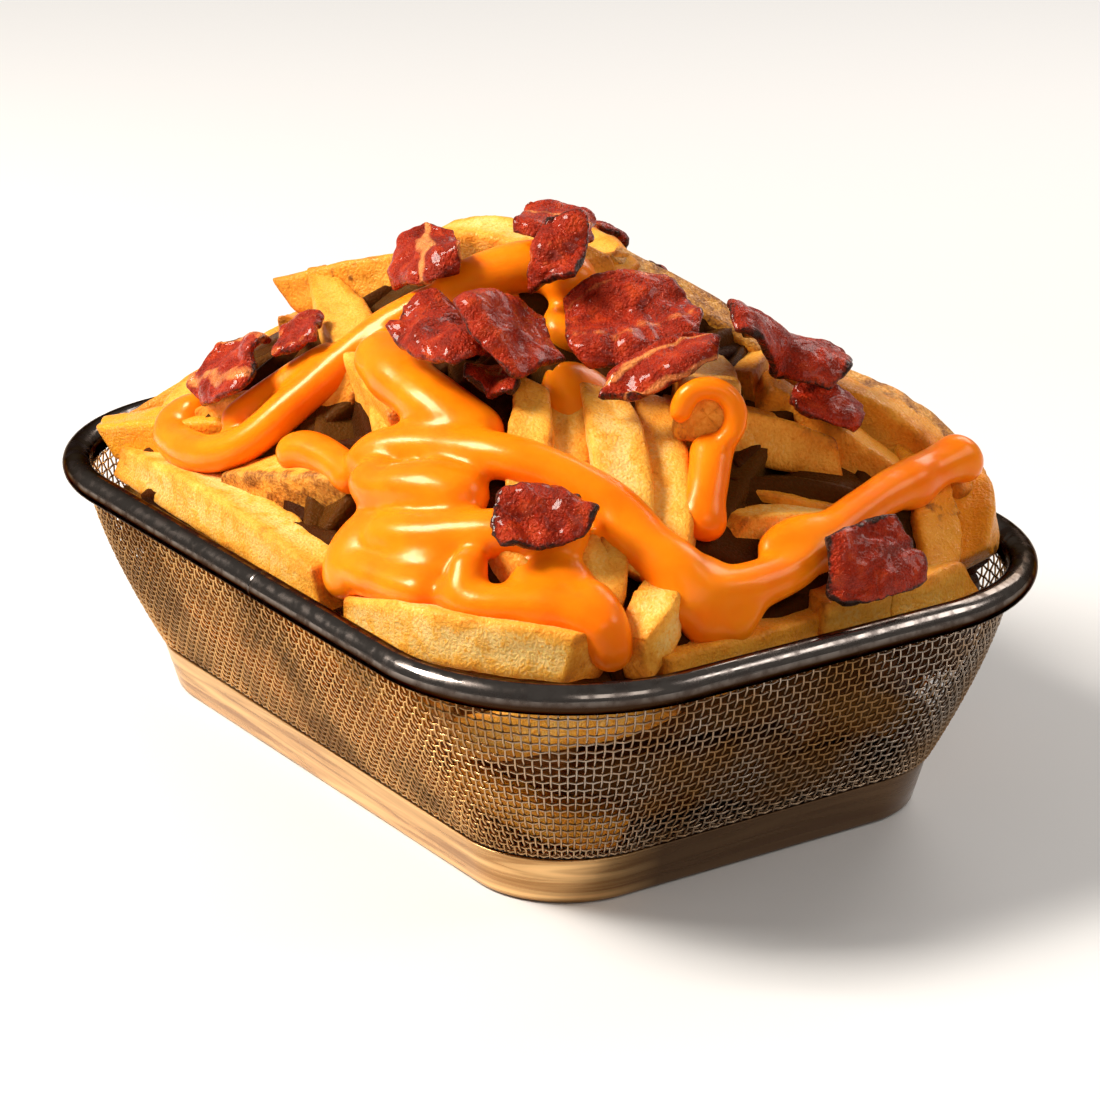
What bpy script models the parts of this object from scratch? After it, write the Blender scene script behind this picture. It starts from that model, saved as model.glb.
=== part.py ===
"""Cheese fries with bacon, heaped in a wire-mesh serving basket.

The basket is a rounded rectangle with a rolled rim, a flared woven wall and a foot band. It lies with
its long sides along X, its centre on the origin and its foot on Z = 0. The heap of fries with the cheese
poured over it is one body, and each piece of bacon is a body of its own that rests on the heap.
Lengths are metres: the values below are millimetres times MM.
"""

import math

import bmesh
import bpy
import numpy as np
from mathutils import Vector
from mathutils.bvhtree import BVHTree

MM = 0.001
GAP = 0.3 * MM

# Rim: a rolled tube that follows a rounded rectangle
RIM_HALF_X = 111.3 * MM
RIM_HALF_Y = 80.0 * MM
RIM_CORNER = 45.5 * MM
RIM_Z = 58.0 * MM
RIM_RADIUS = 3.45 * MM

# Wall: its outer face is offset inwards from the rim's centre line, more and more towards the foot
WALL_TOP_Z = RIM_Z - RIM_RADIUS - GAP
WALL_LOW_Z = 13.4 * MM
WALL_TOP_INSET = 2.3 * MM
WALL_FLARE = 16.2 * MM
WALL_CURVE = 1.35
WALL_THICKNESS = 1.0 * MM
WALL_SLANT = 1.13

# Foot band under the wall
FOOT_TOP_HALF_X = 91.1 * MM
FOOT_TOP_HALF_Y = 60.9 * MM
FOOT_CORNER = 26.1 * MM
FOOT_HEIGHT = 12.0 * MM
FOOT_DRAFT = 3.5 * MM
FOOT_THICKNESS = 1.2 * MM
FOOT_LIP = 4.0 * MM
FOOT_EDGE = 0.7 * MM
FLOOR_Z = FOOT_HEIGHT + GAP

# Outlines: steps along each straight side and round each corner
SIDE_STEPS = 4
CORNER_STEPS = 6

# Heap: a rounded pyramid whose height falls from the peak to the edge, fuller on its far side
HEAP_PEAK = (-8.0 * MM, 2.0 * MM, 126.0 * MM)
HEAP_HALF_X = 106.5 * MM
HEAP_HALF_Y = 75.2 * MM
HEAP_EDGE_Z = 62.0 * MM
HEAP_SQUARE = 4.5
HEAP_FALL_NEAR = 1.25
HEAP_FALL_FAR = 0.55
CORE_DEPTH = 12.5 * MM
CORE_RINGS = (0.86, 0.7, 0.52, 0.34, 0.16)
CORE_STEPS = 28

FRY_CHAMFER = 0.55
PLAIN_HALF = 0.9
FRY_STATIONS = 4
FILL_STATIONS = 3
FILL_TAPERS = (0.8, 0.88)
SEED = 11

# Fries that were placed by eye, in millimetres: name, width, taper of each end, centre line
FRIES = (
    ("corner_fat", 12.0, 0.80, 0.80, ((-83, -68, 64), (-60, -60, 70), (-36, -50, 76))),
    ("long_left", 11.5, 0.72, 0.85, ((-73, -67, 61), (-17, -69, 63.5), (28, -71, 61.5))),
    ("front_long", 12.0, 0.45, 0.92, ((37, -73, 60), (70, -66, 63), (96, -49, 62.5))),
    ("brown_skin", 11.5, 0.70, 0.85, ((-30, -64, 67), (-8, -60, 72), (16, -54, 78))),
    ("leaning", 12.5, 0.40, 0.90, ((-53, -26, 105), (-17, -36, 96), (19, -43, 89))),
    ("behind_leaning", 12.0, 0.80, 0.85, ((-58, -29, 100), (-35, -14, 107), (-12, -2, 112))),
    ("top", 11.5, 0.75, 0.85, ((-27, -8, 117), (-6, -1, 119), (16, 8, 115))),
    ("wedge", 10.5, 0.60, 0.85, ((-8, -36, 92), (16, -46, 84), (34, -54, 77))),
    ("cheese_tip", 7.5, 0.85, 0.60, ((-4, -30, 101), (4, -18, 109), (5, -4, 118))),
    ("under_rope", 11.0, 0.80, 0.85, ((-56, -57, 73), (-34, -49, 82), (-8, -38, 93))),
    ("steep_a", 10.5, 0.75, 0.85, ((36, -24, 99), (52, -35, 88), (68, -47, 75))),
    ("steep_b", 10.0, 0.85, 0.85, ((36, -14, 98), (53, -26, 87), (68, -36, 76))),
    ("steep_pale", 12.5, 0.70, 0.85, ((42, -10, 98), (64, -20, 87), (82, -31, 73))),
    ("steep_gold", 12.5, 0.70, 0.85, ((46, 2, 96), (72, -13, 81), (86, -22, 71))),
    ("head_on", 14.5, 0.95, 0.85, ((70, -1, 99.5), (50, 12, 96), (28, 23, 96))),
    ("skin_end", 12.5, 0.85, 0.80, ((50, 2, 92), (60, 17, 89), (69, 34, 83))),
    ("pale_end", 10.5, 0.75, 0.85, ((79, -3, 76), (82, 16, 73), (84, 36, 70))),
    ("in_cavity", 11.0, 0.80, 0.85, ((67, 8, 79), (76, 22, 73), (85, 40, 67))),
    ("shoulder_low", 12.0, 0.85, 0.80, ((52, 26, 95), (70, 42, 80), (84, 54, 68))),
    ("shoulder_high", 13.0, 0.80, 0.75, ((48, 47, 91), (66, 58, 82), (80, 64, 69))),
    ("right_steep", 11.5, 0.80, 0.75, ((66, 58, 80), (84, 50, 70), (98, 42, 60))),
    ("right_skin", 12.0, 0.80, 0.70, ((60, 70, 74), (79, 66, 69), (93, 57, 61))),
    ("rim_pale", 11.5, 0.75, 0.85, ((100, 6, 61.5), (101, 26, 60.5), (96, 48, 60))),
    ("rim_dark", 12.0, 0.85, 0.85, ((99, -34, 56), (99, -14, 56.5), (97, 6, 57))),
    ("drip_pale", 9.8, 0.65, 0.75, ((90, -27, 71), (96, -33, 67), (99, -41, 60))),
    ("drip_low", 10.5, 0.80, 0.80, ((66, -26, 80), (78, -34, 75), (90, -43, 66))),
    ("under_bacon", 10.5, 0.80, 0.80, ((52, -52, 78), (68, -49, 75), (86, -42, 69))),
    ("front_deep", 11.0, 0.85, 0.85, ((48, -62, 66), (72, -58, 66), (92, -40, 66))),
    ("left_deep", 11.0, 0.85, 0.85, ((-88, -44, 63), (-66, -46, 70), (-38, -40, 80))),
    ("left_edge", 11.5, 0.80, 0.85, ((-96, -34, 61), (-78, -30, 71), (-52, -22, 84))),
)

# Rows of fries on the sides that face away, worked out from the heap: count, distance from the peak
FILL_ROWS = ((9, 0.92), (7, 0.74), (5, 0.52), (2, 0.26))
FILL_START = math.radians(48)
FILL_TURN = math.radians(168)
FILL_WIDTH = (10.0 * MM, 12.5 * MM)
FILL_LENGTH = (50.0 * MM, 78.0 * MM)
FILL_EDGE = 11.0 * MM
FILL_SINK = 0.5
FILL_DRAPE = 0.85

# Fries that lie against the wall inside the basket: height and number in each layer
WALL_LAYERS = ((20.5 * MM, 8), (33.0 * MM, 9), (46.0 * MM, 10))
WALL_FRY_LENGTH = (38.0 * MM, 62.0 * MM)
WALL_FRY_WIDTH = (9.5 * MM, 12.0 * MM)

# Ropes of cheese, in millimetres: name, radius, centre line
ROPE_END = 0.62
ROPE_DENSITY = 1.3
ROPES = (
    ("top", 5.5, ((22, -3, 114), (13, -1, 118.5), (7, -8, 119), (2, -16, 116), (-5, -24, 110))),
    ("top_low", 4.4, ((-3, -22, 112), (-12, -34, 103), (-17, -44, 94), (-21, -53, 86), (-27, -62, 77),
                      (-39, -66, 72), (-55, -65, 71), (-61, -60, 74), (-52, -57, 78))),
    ("beside_top", 4.0, ((-17, -40, 98), (-26, -46, 92), (-33, -54, 84), (-40, -60, 77))),
    ("over_leaning", 6.6, ((-8, -37, 101), (8, -41, 99), (24, -41, 96), (34, -39, 93), (41, -37, 90))),
    ("curl", 4.2, ((-12, -61, 77), (-6, -58, 81), (6, -57, 81), (18, -58, 79))),
    ("main", 4.8, ((19, -58, 81), (18, -53, 86), (31, -47, 90), (49, -41, 92), (62, -34, 90),
                   (74, -28, 85), (85, -25, 78), (95, -22, 72), (97, -12, 70), (96, 2, 71),
                   (92, 16, 75), (88, 30, 78), (84, 46, 80), (82, 61, 82))),
    ("hook", 6.0, ((21, -56, 84), (28, -59, 82), (36, -57, 84), (45, -53, 85), (55, -49, 84))),
    ("puddle_edge", 5.2, ((29, -70, 67), (42, -69, 68), (56, -68, 69), (64, -65, 70))),
    ("puddle_middle", 5.6, ((34, -64, 74), (48, -61, 77), (66, -50, 81), (78, -37, 80))),
    ("puddle_front", 4.6, ((62, -64, 70), (74, -62, 70), (87, -51, 71), (99, -43, 66))),
    ("spike", 3.8, ((72, -66, 69), (68, -62, 74), (65, -59, 79))),
    ("right_branch", 5.8, ((72, -30, 84), (84, -26, 78), (95, -22, 71), (101, -21, 60))),
    ("right_drip", 4.6, ((95, -6, 70), (99, -13, 66), (101, -20, 60))),
    ("front_drip", 4.8, ((84, -44, 73), (94, -45, 69), (98.5, -44.5, 58.5))),
    ("fry_end", 2.5, ((67.4, -6.5, 97.4), (67.0, -5.1, 103.5), (69.4, -0.8, 106),
                      (72.6, 3.2, 103.7), (74.2, 3.9, 98.5), (74.5, 0, 93))),
    ("hanging", 4.2, ((68, 2, 94), (74, -3, 89), (79, -8, 84), (82, -11, 79))),
    ("back_pour", 4.6, ((-10, 12, 112), (-20, 22, 108), (-28, 36, 102), (-22, 50, 96), (-6, 60, 88))),
    ("left_pour", 4.4, ((-40, -26, 101), (-58, -16, 94), (-74, -4, 86), (-86, 10, 78))),
)

# Pools of cheese, in millimetres: name, centre, half sizes along, across and up
POOLS = (
    ("front_left", (33, -66, 70), (12, 9, 6)),
    ("front_middle", (50, -61, 75), (15, 12, 5)),
    ("front_right", (82, -50, 72), (11, 10, 4)),
    ("fold", (38, -50, 83), (13, 8, 5)),
    ("fork", (94, -21, 70.5), (9, 10, 6)),
    ("rope_wide", (84, 46, 79), (5.5, 9, 6)),
    ("hanging_low", (80.5, -9.5, 81), (6, 5, 4.5)),
    ("right_mass", (92, 11, 74), (7, 13, 5)),
    ("rope_tip", (82.5, 60, 81.5), (6, 5, 5)),
    ("below_lobe", (41, -14, 97.5), (12, 9, 3)),
    ("between", (24, -4, 108), (8, 8, 4)),
    ("back", (-8, 40, 100), (16, 12, 5)),
)
POOL_SEGMENTS = 10
POOL_RINGS = 5

# Neighbouring faces of the fused heap that lie flatter than this become one
FLAT_ANGLE = math.radians(4.0)

# Bacon, in millimetres and degrees: name, centre, length, width, turn, curl, and how its face is tilted
# from level and towards where, or None where it lies along the slope
BACON_THICKNESS = 2.0 * MM
BACON_STEPS = (5, 4)
BACON_SAMPLES = 4
BACON_CLEARANCE = 0.45 * MM
BACON_DEEPEST = -4.0 * MM
BACON = (
    ("front", (73, -46, 85), 24, 16, 62, 4.0, (50, -34)),
    ("far_left", (-43, -53, 88), 27, 20, 35, 3.5, (60, -70)),
    ("left", (-31, -40, 95), 14, 13, 60, 2.0, (50, -60)),
    ("left_top", (-16, -18, 116), 19, 17, 146, 2.5, (60, -34)),
    ("centre_low", (27, -28, 98), 15, 12, 30, 2.0, (50, -34)),
    ("centre_left", (8, -29, 100), 28, 20, 0, 4.0, (50, -34)),
    ("lobe", (26, -23, 106), 29, 20, -14, 5.0, (50, -34)),
    ("big", (35, 2.5, 109), 34, 29, 80, 5.0, (46, -34)),
    ("strip", (52, -1, 102), 32, 13, 98, 2.5, (50, -34)),
    ("top", (4, 4, 125), 20, 15, 30, 2.5, (60, -34)),
    ("top_twist", (16, -3, 120), 21, 13, -40, 3.0, (45, -35)),
    ("right_low", (60, 39, 87), 18, 13, 33, 2.5, (50, -34)),
    ("right", (46, 38, 93), 31, 22, 33, 4.0, (50, -34)),
    ("right_front", (101, 19, 71), 26, 21, 100, 3.5, (65, -20)),
    ("back_high", (-36, 40, 110), 24, 17, 20, 3.0, None),
    ("back_low", (-30, 62, 92), 24, 17, 60, 3.0, None),
    ("left_far", (-68, 18, 96), 25, 18, 110, 3.0, None),
)


def clear_scene():
    """Remove every object that is in the file."""
    for existing in list(bpy.data.objects):
        bpy.data.objects.remove(existing)


def new_collection(name):
    """Add a collection to the scene."""
    made = bpy.data.collections.new(name)
    bpy.context.scene.collection.children.link(made)
    return made


def new_material(name, colour, roughness, metallic=0.0):
    """Make a Principled BSDF material with one colour."""
    made = bpy.data.materials.new(name)
    made.use_nodes = True
    shader = made.node_tree.nodes["Principled BSDF"]
    shader.inputs["Base Color"].default_value = (*colour, 1.0)
    shader.inputs["Roughness"].default_value = roughness
    shader.inputs["Metallic"].default_value = metallic
    return made


def new_object(name, data, collection, material=None):
    """Put a mesh or curve into a collection under its name."""
    made = bpy.data.objects.new(name, data)
    collection.objects.link(made)
    if material is not None:
        data.materials.append(material)
    return made


def mesh_from_rings(name, rings, close_ends=True, join_ends=False):
    """Make a mesh from closed rings of points, each joined to the next.

    close_ends fills the first and last ring, and join_ends joins the last ring to the first instead.
    """
    count, around = rings.shape[:2]
    points = [tuple(point) for point in rings.reshape(-1, 3)]
    faces = []
    for ring in range(count if join_ends else count - 1):
        after = (ring + 1) % count
        for step in range(around):
            turn = (step + 1) % around
            faces.append((ring * around + step, ring * around + turn,
                          after * around + turn, after * around + step))
    if close_ends and not join_ends:
        faces.append(tuple(reversed(range(around))))
        faces.append(tuple(range((count - 1) * around, count * around)))
    mesh = bpy.data.meshes.new(name)
    mesh.from_pydata(points, [], faces)
    outwards(mesh)
    return mesh


def outwards(mesh):
    """Turn all of a closed mesh's faces outwards."""
    work = bmesh.new()
    work.from_mesh(mesh)
    bmesh.ops.recalc_face_normals(work, faces=work.faces)
    work.to_mesh(mesh)
    work.free()


def rounded_outline(half_x, half_y, corner):
    """Points round a rounded rectangle, anticlockwise from the middle of its +X side."""
    points = []
    for quarter in range(4):
        flip_x = 1 if quarter in (0, 3) else -1
        flip_y = 1 if quarter in (0, 1) else -1
        centre = (flip_x * (half_x - corner), flip_y * (half_y - corner))
        start = quarter * math.pi / 2
        for step in range(CORNER_STEPS + 1):
            angle = start + step / CORNER_STEPS * math.pi / 2
            points.append((centre[0] + corner * math.cos(angle), centre[1] + corner * math.sin(angle)))
        length = 2 * (half_y - corner) if quarter in (1, 3) else 2 * (half_x - corner)
        direction = (-math.sin(start + math.pi / 2), math.cos(start + math.pi / 2))
        for step in range(1, SIDE_STEPS):
            travel = length * step / SIDE_STEPS
            last_x = centre[0] + corner * math.cos(start + math.pi / 2)
            last_y = centre[1] + corner * math.sin(start + math.pi / 2)
            points.append((last_x + direction[0] * travel, last_y + direction[1] * travel))
    return np.array(points)


def outline_ring(half_x, half_y, corner, inset, z):
    """A level ring on the outline that lies inset inside a rounded rectangle."""
    flat = rounded_outline(half_x - inset, half_y - inset, corner - inset)
    return np.column_stack([flat, np.full(len(flat), z)])


def wall_inset(z):
    """How far the wall's outer face lies inside the rim's centre line at a height."""
    rise = np.clip((z - WALL_LOW_Z) / (WALL_TOP_Z - WALL_LOW_Z), 0.0, 1.0)
    return WALL_TOP_INSET + WALL_FLARE * (1.0 - rise) ** WALL_CURVE


def rim_inset(point):
    """How far a point lies inside the rim's centre line in plan, and the way further in."""
    beyond_x = abs(point[0]) - (RIM_HALF_X - RIM_CORNER)
    beyond_y = abs(point[1]) - (RIM_HALF_Y - RIM_CORNER)
    sign = (math.copysign(1.0, point[0]), math.copysign(1.0, point[1]))
    if beyond_x > 0 and beyond_y > 0:
        reach = math.hypot(beyond_x, beyond_y)
        return RIM_CORNER - reach, (-sign[0] * beyond_x / reach, -sign[1] * beyond_y / reach)
    if beyond_x > beyond_y:
        return RIM_CORNER - beyond_x, (-sign[0], 0.0)
    return RIM_CORNER - beyond_y, (0.0, -sign[1])


def keep_inside(points, radii):
    """Push points inwards and upwards until a round body of their radii clears the basket."""
    kept = []
    for point, radius in zip(points, radii):
        z = max(point[2], FLOOR_Z + WALL_THICKNESS + 2 * GAP + radius)
        needed = 0.0
        if z < WALL_TOP_Z + radius:
            needed = wall_inset(z) + WALL_SLANT * (WALL_THICKNESS + 2 * GAP + radius)
        reach = RIM_RADIUS + 2 * GAP + radius
        if abs(z - RIM_Z) < reach:
            needed = max(needed, math.sqrt(reach ** 2 - (z - RIM_Z) ** 2))
        inset, inwards = rim_inset(point)
        push = max(0.0, needed - inset)
        kept.append((point[0] + inwards[0] * push, point[1] + inwards[1] * push, z))
    return np.array(kept)


def heap_height(x, y):
    """Height of the heap's outer surface: a pyramid on a superellipse, rounded at its top."""
    from_x = x - HEAP_PEAK[0]
    from_y = y - HEAP_PEAK[1]
    half_x = HEAP_HALF_X - HEAP_PEAK[0] * math.copysign(1.0, from_x)
    half_y = HEAP_HALF_Y - HEAP_PEAK[1] * math.copysign(1.0, from_y)
    norm = (abs(from_x) / half_x) ** HEAP_SQUARE + (abs(from_y) / half_y) ** HEAP_SQUARE
    outwardness = min(norm ** (1 / HEAP_SQUARE), 1.0)
    far_side = max(from_y / (math.hypot(from_x, from_y) + 1e-9), 0.0)
    fall = outwardness ** (HEAP_FALL_NEAR + HEAP_FALL_FAR * far_side)
    return HEAP_EDGE_Z + (HEAP_PEAK[2] - HEAP_EDGE_Z) * (1.0 - fall)


def heap_place(angle, outwardness):
    """The point of the heap's surface at an angle round its peak and a share of the way to its edge."""
    along = (math.cos(angle), math.sin(angle))
    half_x = HEAP_HALF_X - HEAP_PEAK[0] * math.copysign(1.0, along[0])
    half_y = HEAP_HALF_Y - HEAP_PEAK[1] * math.copysign(1.0, along[1])
    norm = (abs(along[0]) / half_x) ** HEAP_SQUARE + (abs(along[1]) / half_y) ** HEAP_SQUARE
    reach = outwardness * norm ** (-1 / HEAP_SQUARE)
    x = HEAP_PEAK[0] + along[0] * reach
    y = HEAP_PEAK[1] + along[1] * reach
    return np.array((x, y, heap_height(x, y)))


def heap_normal(x, y):
    """The upward direction square to the heap's surface."""
    step = 2.0 * MM
    slope_x = (heap_height(x + step, y) - heap_height(x - step, y)) / (2 * step)
    slope_y = (heap_height(x, y + step) - heap_height(x, y - step)) / (2 * step)
    normal = np.array((-slope_x, -slope_y, 1.0))
    return normal / np.linalg.norm(normal)


def smooth_route(points, count):
    """Points at even shares of a smooth curve through the given ones."""
    points = np.asarray(points, dtype=float)
    if len(points) == 2:
        share = np.linspace(0.0, 1.0, count)[:, None]
        return points[0] * (1 - share) + points[1] * share
    padded = np.vstack([2 * points[0] - points[1], points, 2 * points[-1] - points[-2]])
    spans = len(points) - 1
    route = []
    for place in np.linspace(0.0, spans, count):
        span = min(int(place), spans - 1)
        t = place - span
        before, start, end, after = padded[span:span + 4]
        route.append(0.5 * (2 * start + (end - before) * t
                            + (2 * before - 5 * start + 4 * end - after) * t ** 2
                            + (3 * start - before - 3 * end + after) * t ** 3))
    return np.array(route)


def fry_section(chamfered):
    """Corners of a fry's square section of half width 1, each cut off if chamfered."""
    corners = []
    for flip_x, flip_y in ((1, 1), (-1, 1), (-1, -1), (1, -1)):
        if not chamfered:
            corners.append((flip_x * PLAIN_HALF, flip_y * PLAIN_HALF))
            continue
        pair = [(flip_x, flip_y * FRY_CHAMFER), (flip_x * FRY_CHAMFER, flip_y)]
        corners += pair if flip_x == flip_y else pair[::-1]
    return np.array(corners)


def fry_mesh(name, route, width, tapers, roll, chamfered=True):
    """A fry: a square section carried along its route, narrower at its ends."""
    section = fry_section(chamfered) * width / 2
    reach = np.linalg.norm(section, axis=1).max()
    route = smooth_route(route, FRY_STATIONS if chamfered else FILL_STATIONS)
    sizes = [tapers[0]] + [1.0] * (len(route) - 2) + [tapers[1]]
    route = keep_inside(route, [reach * size for size in sizes])
    turn = np.array(((math.cos(roll), -math.sin(roll)), (math.sin(roll), math.cos(roll))))
    section = section @ turn.T
    rings = []
    for station, centre in enumerate(route):
        before = route[max(station - 1, 0)]
        after = route[min(station + 1, len(route) - 1)]
        along = (after - before) / np.linalg.norm(after - before)
        side = np.cross(along, (0.0, 0.0, 1.0))
        side /= np.linalg.norm(side)
        up = np.cross(side, along)
        rings.append(centre + sizes[station] * (section[:, :1] * side + section[:, 1:] * up))
    return mesh_from_rings(name, np.array(rings))


def placed_fries(rng):
    """The fries that were placed by eye."""
    meshes = []
    for name, width, taper_start, taper_end, route in FRIES:
        roll = rng.uniform(-0.25, 0.25)
        meshes.append(fry_mesh(name, np.array(route) * MM, width * MM, (taper_start, taper_end), roll))
    return meshes


def far_fries(rng):
    """Fries on the sides that face away, laid over the heap's surface row by row."""
    meshes = []
    for row, (count, outwardness) in enumerate(FILL_ROWS):
        for place in range(count):
            share = (place + 0.5 + rng.uniform(-0.2, 0.2)) / count
            angle = FILL_START + FILL_TURN * share
            centre = heap_place(angle, outwardness * rng.uniform(0.95, 1.03))
            width = rng.uniform(*FILL_WIDTH)
            length = rng.uniform(*FILL_LENGTH)
            normal = heap_normal(centre[0], centre[1])
            downhill = np.array((normal[0], normal[1], 0.0))
            downhill /= np.linalg.norm(downhill)
            swing = math.radians(rng.choice((-70, -35, 10, 40, 75)) + rng.uniform(-12, 12))
            heading = (downhill[0] * math.cos(swing) - downhill[1] * math.sin(swing),
                       downhill[0] * math.sin(swing) + downhill[1] * math.cos(swing))
            sink = FILL_SINK * width + rng.uniform(-1.0, 1.5) * MM
            centre = centre[:2] + edge_push(centre, heading, length)
            route = []
            for share_along in (-0.5, 0.0, 0.5):
                x, y = centre + np.array(heading) * length * share_along
                route.append((x, y, heap_height(x, y) - sink))
            route[1] = (route[1][0], route[1][1],
                        FILL_DRAPE * route[1][2] + (1 - FILL_DRAPE) * (route[0][2] + route[2][2]) / 2)
            meshes.append(fry_mesh(f"far_{row}_{place}", route, width, FILL_TAPERS,
                                   rng.uniform(-0.4, 0.4), chamfered=False))
    return meshes


def edge_push(centre, heading, length):
    """How far a fry moves in plan so that neither of its ends passes the heap's edge."""
    move = np.zeros(2)
    for share_along in (-0.5, 0.5):
        end = centre[:2] + np.array(heading) * length * share_along
        inset, inwards = rim_inset(end)
        move += np.array(inwards) * max(0.0, FILL_EDGE - inset)
    return move


def wall_fries(rng):
    """Fries that lie against the wall inside the basket, layer on layer."""
    meshes = []
    for layer, (height, count) in enumerate(WALL_LAYERS):
        for place in range(count):
            angle = 2 * math.pi * (place + 0.5 * (layer % 2) + rng.uniform(-0.15, 0.15)) / count
            width = rng.uniform(*WALL_FRY_WIDTH)
            length = rng.uniform(*WALL_FRY_LENGTH)
            inset = wall_inset(height) + WALL_SLANT * (WALL_THICKNESS + 0.62 * width)
            half_x = RIM_HALF_X - inset
            half_y = RIM_HALF_Y - inset
            norm = (abs(math.cos(angle)) ** HEAP_SQUARE + abs(math.sin(angle)) ** HEAP_SQUARE)
            reach = norm ** (-1 / HEAP_SQUARE)
            x = half_x * reach * math.cos(angle)
            y = half_y * reach * math.sin(angle)
            slope = HEAP_SQUARE - 1
            normal = np.array((math.copysign(abs(x / half_x) ** slope, x) / half_x,
                               math.copysign(abs(y / half_y) ** slope, y) / half_y))
            normal /= np.linalg.norm(normal)
            tilt = math.radians(rng.uniform(-28, 28))
            run = length / 2 * math.cos(tilt)
            rise = min(length / 2 * math.sin(abs(tilt)), 9 * MM) * math.copysign(1.0, tilt)
            route = [(x - side * normal[1] * run, y + side * normal[0] * run, height + side * rise)
                     for side in (-1, 0, 1)]
            meshes.append(fry_mesh(f"wall_{layer}_{place}", route, width, FILL_TAPERS,
                                   rng.uniform(-0.3, 0.3), chamfered=False))
    return meshes


def core_mesh():
    """The heap's inside: superellipse rings up the basket and then up the pyramid."""
    angles = np.linspace(0.0, 2 * math.pi, CORE_STEPS, endpoint=False)
    rings = []
    for z in (14.6 * MM, 24.0 * MM, 38.0 * MM, 53.0 * MM):
        inset = wall_inset(z) + 10.0 * MM
        norm = (np.abs(np.cos(angles)) ** HEAP_SQUARE + np.abs(np.sin(angles)) ** HEAP_SQUARE)
        reach = norm ** (-1 / HEAP_SQUARE)
        rings.append(np.column_stack([(RIM_HALF_X - inset) * reach * np.cos(angles),
                                      (RIM_HALF_Y - inset) * reach * np.sin(angles),
                                      np.full(CORE_STEPS, z)]))
    for outwardness in CORE_RINGS:
        ring = []
        for x, y, _ in rings[3]:
            angle = math.atan2(y - HEAP_PEAK[1], x - HEAP_PEAK[0])
            ring.append(heap_place(angle, outwardness) - (0.0, 0.0, CORE_DEPTH))
        rings.append(np.array(ring))
    return mesh_from_rings("core", np.array(rings))


def rope_meshes(collection):
    """The ropes of cheese, each a bevelled curve made a mesh."""
    meshes = []
    for name, radius, route in ROPES:
        points = smooth_route(np.array(route) * MM, round(ROPE_DENSITY * len(route)))
        points = keep_inside(points, [radius * MM] * len(points))
        curve = bpy.data.curves.new(name, "CURVE")
        curve.dimensions = "3D"
        curve.bevel_depth = radius * MM
        curve.bevel_resolution = 2
        curve.use_fill_caps = True
        spline = curve.splines.new("POLY")
        spline.points.add(len(points) - 1)
        for index, (slot, point) in enumerate(zip(spline.points, points)):
            slot.co = (*point, 1.0)
            from_end = min(index, len(points) - 1 - index)
            slot.radius = ROPE_END if from_end == 0 else 1.0
        meshes.append(mesh_from_curve(name, curve, collection))
    return meshes


def mesh_from_curve(name, curve, collection):
    """Make a curve's tube a closed mesh with its caps welded on."""
    holder = new_object(name, curve, collection)
    bpy.context.view_layer.update()
    evaluated = holder.evaluated_get(bpy.context.evaluated_depsgraph_get())
    mesh = bpy.data.meshes.new_from_object(evaluated)
    bpy.data.objects.remove(holder)
    work = bmesh.new()
    work.from_mesh(mesh)
    bmesh.ops.remove_doubles(work, verts=work.verts, dist=0.01 * MM)
    bmesh.ops.recalc_face_normals(work, faces=work.faces)
    work.to_mesh(mesh)
    work.free()
    return mesh


def pool_meshes():
    """The pools of cheese: flattened spheres that lie along the slope."""
    meshes = []
    for name, centre, half_sizes in POOLS:
        centre = np.array(centre) * MM
        normal = Vector(heap_normal(centre[0], centre[1]))
        work = bmesh.new()
        bmesh.ops.create_uvsphere(work, u_segments=POOL_SEGMENTS, v_segments=POOL_RINGS, radius=1.0)
        for vertex in work.verts:
            vertex.co = [co * half * MM for co, half in zip(vertex.co, half_sizes)]
        turn = normal.to_track_quat("Z", "X").to_matrix()
        for vertex in work.verts:
            vertex.co = turn @ vertex.co + Vector(centre)
        mesh = bpy.data.meshes.new(name)
        work.to_mesh(mesh)
        work.free()
        meshes.append(mesh)
    return meshes


def fuse(name, meshes, material, parts):
    """Join overlapping meshes into one closed body with a Boolean union on a collection."""
    joined = new_collection("to_fuse")
    first = new_object(name, meshes[0], parts, material)
    for mesh in meshes[1:]:
        new_object(mesh.name, mesh, joined)
    union = first.modifiers.new("Fuse", "BOOLEAN")
    union.operation = "UNION"
    union.operand_type = "COLLECTION"
    union.collection = joined
    union.solver = "EXACT"
    bpy.context.view_layer.update()
    evaluated = first.evaluated_get(bpy.context.evaluated_depsgraph_get())
    result = bpy.data.meshes.new_from_object(evaluated)
    for piece in list(joined.objects):
        bpy.data.objects.remove(piece)
    bpy.data.collections.remove(joined)
    bpy.data.objects.remove(first)
    keep_largest_body(result)
    result.materials.clear()
    return new_object(name, result, parts, material)


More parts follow.
